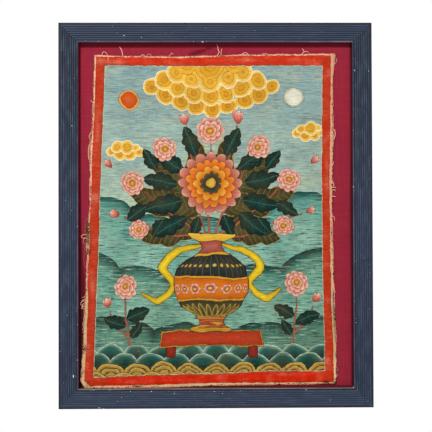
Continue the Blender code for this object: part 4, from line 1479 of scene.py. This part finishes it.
class PAINTING_OT_threads(bpy.types.Operator):
    """Build the threads: loops and ends given one by one, ravels along the edges, and short fibres"""

    bl_idname = "framed_painting.threads"
    bl_label = "Loose threads and fibres"

    def execute(self, context):
        settings = context.scene.painting_threads
        material = cotton_thread()
        random = np.random.default_rng(11)
        thread, fibre = settings.thread_diameter / MM / 2, settings.fibre_diameter / MM / 2
        loose = self.loose_threads(thread)
        ravels = self.ravels(random, settings.ravel_count, 0.36 * settings.thread_diameter / MM)
        fibres = self.fibres(random, settings.fibre_count, fibre)
        pieces = (("loose_threads", (loose, ravels), 6), ("raw_edge_fibres", (fibres,), 3))
        for name, groups, sides in pieces:
            points, faces, tones = [], [], []
            for lines, radii, tone in groups:
                start = sum(len(p) for p in points)
                tube_points, tube_faces = tubes(lines * MM, radii * MM, sides)
                tube_points[:, 2] += MIDDLE_Z
                points.append(tube_points)
                faces += [[start + i for i in face] for face in tube_faces]
                tones.append(np.repeat(tone, lines.shape[1] * sides))
            new_piece(name, np.vstack(points), faces, [material],
                      {"tone": np.concatenate(tones)})
        return {"FINISHED"}

    @staticmethod
    def loose_threads(radius):
        """Each listed line is resampled to 25 points and rises from the edge in a low arch."""
        lines, radii = [], []
        taper = np.interp(np.linspace(0, 1, 25), (0, 0.1, 0.85, 1), (0.8, 1, 0.95, 0.5))
        for number, (scale, _, *points) in enumerate(LOOSE_THREADS):
            line = smooth_line(points, 12)
            run = np.linspace(0, len(line) - 1, 25)
            x, height = (np.interp(run, np.arange(len(line)), line[:, k]) for k in (0, 1))
            t = run / run[-1]
            root = MOUNT_FRONT + 0.5 + cloth_lift(x[:1], height[:1])
            rest = MOUNT_FRONT + radius * scale + 0.1
            arch = (0.9 + 0.25 * (number % 3)) * np.sin(math.pi * t)
            over_cloth = smooth_step(from_edge(x, height), -0.5, 1.0)
            on_cloth = MOUNT_FRONT + 1.6 + radius * scale + cloth_lift(x, height)
            level = rest + (root - rest) * (1 - smooth_step(t, 0, 0.5)) + arch
            lines.append(np.stack([x, -(level + over_cloth * np.maximum(on_cloth - level, 0)), height], -1))
            radii.append(radius * scale * taper)
        tone = np.array([row[1] for row in LOOSE_THREADS])
        return np.array(lines), np.array(radii), tone

    @staticmethod
    def ravels(random, count, radius):
        """Threads pulled loose along an edge: they wander out of the cloth and back in over 15 to 70 mm."""
        places = 40
        start, length = random.uniform(0, 3.98, count), random.uniform(0.03, 0.16, count)
        side = np.floor(start)
        within = start[:, None] - side[:, None] + np.linspace(0, 1, places) * length[:, None]
        run = side[:, None] + np.clip(within, 0.004, 0.996)
        x, height, out_x, out_h = edge_places(run)
        t = np.linspace(0, 1, places)
        bow = np.sin(math.pi * t) ** 0.6
        wander = smooth_noise(900 * run, 31 * start[:, None], 14, 71)
        out = random.uniform(0.2, 1.7, count)[:, None] * bow + 0.5 * bow * wander - 0.6
        x, height = x + out * out_x, height + out * out_h
        lift = cloth_lift(x, height)
        level = MOUNT_FRONT + 0.75 + 0.9 * lift + 0.2 * smooth_noise(900 * run, 17 * start[:, None], 20, 72)
        lines = np.stack([x, -level, height], -1)
        return lines, np.full((count, places), radius), random.uniform(0.35, 1.0, count)

    @staticmethod
    def fibres(random, count, radius):
        """Short fibres: each leaves the edge outwards, bends along it, and sinks towards the mount."""
        places = 5
        run = random.uniform(0, 4, count)
        x, height, out_x, out_h = edge_places(run)
        t = np.linspace(0, 1, places)
        length = 0.5 + 2.4 * random.uniform(0, 1, count) ** 2.2
        # They are longer on the left, and longest just below its middle.
        length = length * np.interp(run, (3, 3.01, 3.46, 3.49, 3.58, 3.61), (1, 1.25, 1.25, 2.6, 2.6, 1.25))
        bend = random.normal(0, 0.9, count) * length
        out = (-0.5 + 1.1 * t) * length[:, None]
        side = bend[:, None] * t ** 1.6
        line_x = x[:, None] + out * out_x[:, None] - side * out_h[:, None]
        line_h = height[:, None] + out * out_h[:, None] + side * out_x[:, None]
        root = MOUNT_FRONT + 0.55 + cloth_lift(x, height)
        tip = MOUNT_FRONT + 0.2 + random.uniform(0, 1, count) * (root - MOUNT_FRONT)
        level = root[:, None] + (tip - root)[:, None] * t ** 1.4
        lines = np.stack([line_x, -level, line_h], -1)
        radii = radius * np.interp(t, (0, 0.6, 1), (1, 0.8, 0.3))
        return lines, np.tile(radii, (count, 1)), random.uniform(0.1, 0.95, count)


class PAINTING_OT_stage(bpy.types.Operator):
    """Set the stage: pale floor, soft key light, even fill, and the camera"""

    bl_idname = "framed_painting.stage"
    bl_label = "Floor, light and camera"

    def execute(self, context):
        settings, scene = context.scene.painting_stage, context.scene
        scene.view_settings.view_transform = "Standard"
        middle = Vector((0, 0, MIDDLE_Z))
        self.floor(settings)
        self.world(settings, scene)
        # The key stands up and to the left, where its shadow of the lip is as long as it should be.
        key = bpy.data.lights.new("key", "AREA")
        key.size, key.energy = settings.key_size, settings.key_power
        lamp = bpy.data.objects.new("key", key)
        direction = Vector((-0.33, -1.0, 0.66)).normalized()
        lamp.matrix_world = Matrix.Translation(middle + direction * settings.key_distance) @ (
            direction.to_track_quat("Z", "Y").to_matrix().to_4x4())
        scene.collection.objects.link(lamp)
        # The camera looks back along its own Z: right, up and back are its axes.
        turn, rise = settings.azimuth, settings.elevation
        back = Vector((math.sin(turn) * math.cos(rise), -math.cos(turn) * math.cos(rise), math.sin(rise)))
        level_right = Vector((0, 0, 1)).cross(back).normalized()
        level_up = back.cross(level_right)
        right = math.cos(settings.roll) * level_right + math.sin(settings.roll) * level_up
        up = back.cross(right)
        aim = middle + Vector((0.0001, -FRAME_DEPTH * MM, -0.0016))
        camera = bpy.data.objects.new("camera", bpy.data.cameras.new("camera"))
        camera.data.lens, camera.data.sensor_width = settings.focal_length, 36.0
        camera.matrix_world = Matrix.Translation(aim + back * settings.distance) @ (
            Matrix((right, up, back)).transposed().to_4x4())
        scene.collection.objects.link(camera)
        scene.camera = camera
        return {"FINISHED"}

    @staticmethod
    def floor(settings):
        """Round floor: rings of points about the middle, below the frame."""
        rings, sides = 6, 64
        radius, angle = np.meshgrid(np.linspace(0.02, 1, rings) * settings.floor_radius,
                                    2 * math.pi * np.arange(sides) / sides, indexing="ij")
        level = np.full(radius.shape, FRAME_LOW.z - settings.floor_drop)
        points = np.stack([radius * np.cos(angle), radius * np.sin(angle), level], -1)
        faces = grid_faces(rings, sides, 0, True)[:, ::-1].tolist() + [list(range(sides))]
        mesh = bpy.data.meshes.new("floor")
        mesh.from_pydata(points.reshape(-1, 3).tolist(), [], faces)
        mesh.materials.append(studio_floor())
        floor = bpy.data.objects.new("floor", mesh)
        bpy.context.scene.collection.objects.link(floor)

    @staticmethod
    def world(settings, scene):
        """White behind the object, and a weaker even light from all round."""
        world = bpy.data.worlds.new("studio")
        world.use_nodes = True
        tree = world.node_tree
        tree.nodes.clear()
        add = partial(add_node, tree)
        mixed = add(EITHER_LIGHT, add(SEEN_DIRECTLY), add(WHITE_LIGHT, settings.fill), add(WHITE_LIGHT, 1))
        tree.links.new(mixed, tree.nodes.new("ShaderNodeOutputWorld").inputs["Surface"])
        scene.world = world


class PAINTING_PT_panel(bpy.types.Panel):
    """Lists the settings and the build steps"""

    bl_idname = "PAINTING_PT_panel"
    bl_label = "Framed painting"
    bl_space_type = "VIEW_3D"
    bl_region_type = "UI"
    bl_category = "Framed painting"

    def draw(self, context):
        for key, group, operators in PARTS:
            box = self.layout.box()
            for name in group.__annotations__:
                box.prop(getattr(context.scene, key), name)
            for operator in operators:
                box.operator(operator.bl_idname)


PARTS = (
    ("painting_rails", RailSettings, (PAINTING_OT_rails, PAINTING_OT_chips)),
    ("painting_mount", MountSettings, (PAINTING_OT_mount,)),
    ("painting_cloth", ClothSettings, (PAINTING_OT_cloth,)),
    ("painting_threads", ThreadSettings, (PAINTING_OT_threads,)),
    ("painting_stage", StageSettings, (PAINTING_OT_stage,)),
)


def register():
    for key, group, operators in PARTS:
        bpy.utils.register_class(group)
        setattr(bpy.types.Scene, key, PointerProperty(type=group))
        for operator in operators:
            bpy.utils.register_class(operator)
    bpy.utils.register_class(PAINTING_PT_panel)


def unregister():
    bpy.utils.unregister_class(PAINTING_PT_panel)
    for key, group, operators in reversed(PARTS):
        for operator in reversed(operators):
            bpy.utils.unregister_class(operator)
        delattr(bpy.types.Scene, key)
        bpy.utils.unregister_class(group)


def main():
    register()
    bpy.ops.framed_painting.stage()
    bpy.ops.framed_painting.rails()
    bpy.ops.framed_painting.chips()
    bpy.ops.framed_painting.mount()
    bpy.ops.framed_painting.cloth()
    bpy.ops.framed_painting.threads()


if __name__ == "__main__":
    main()
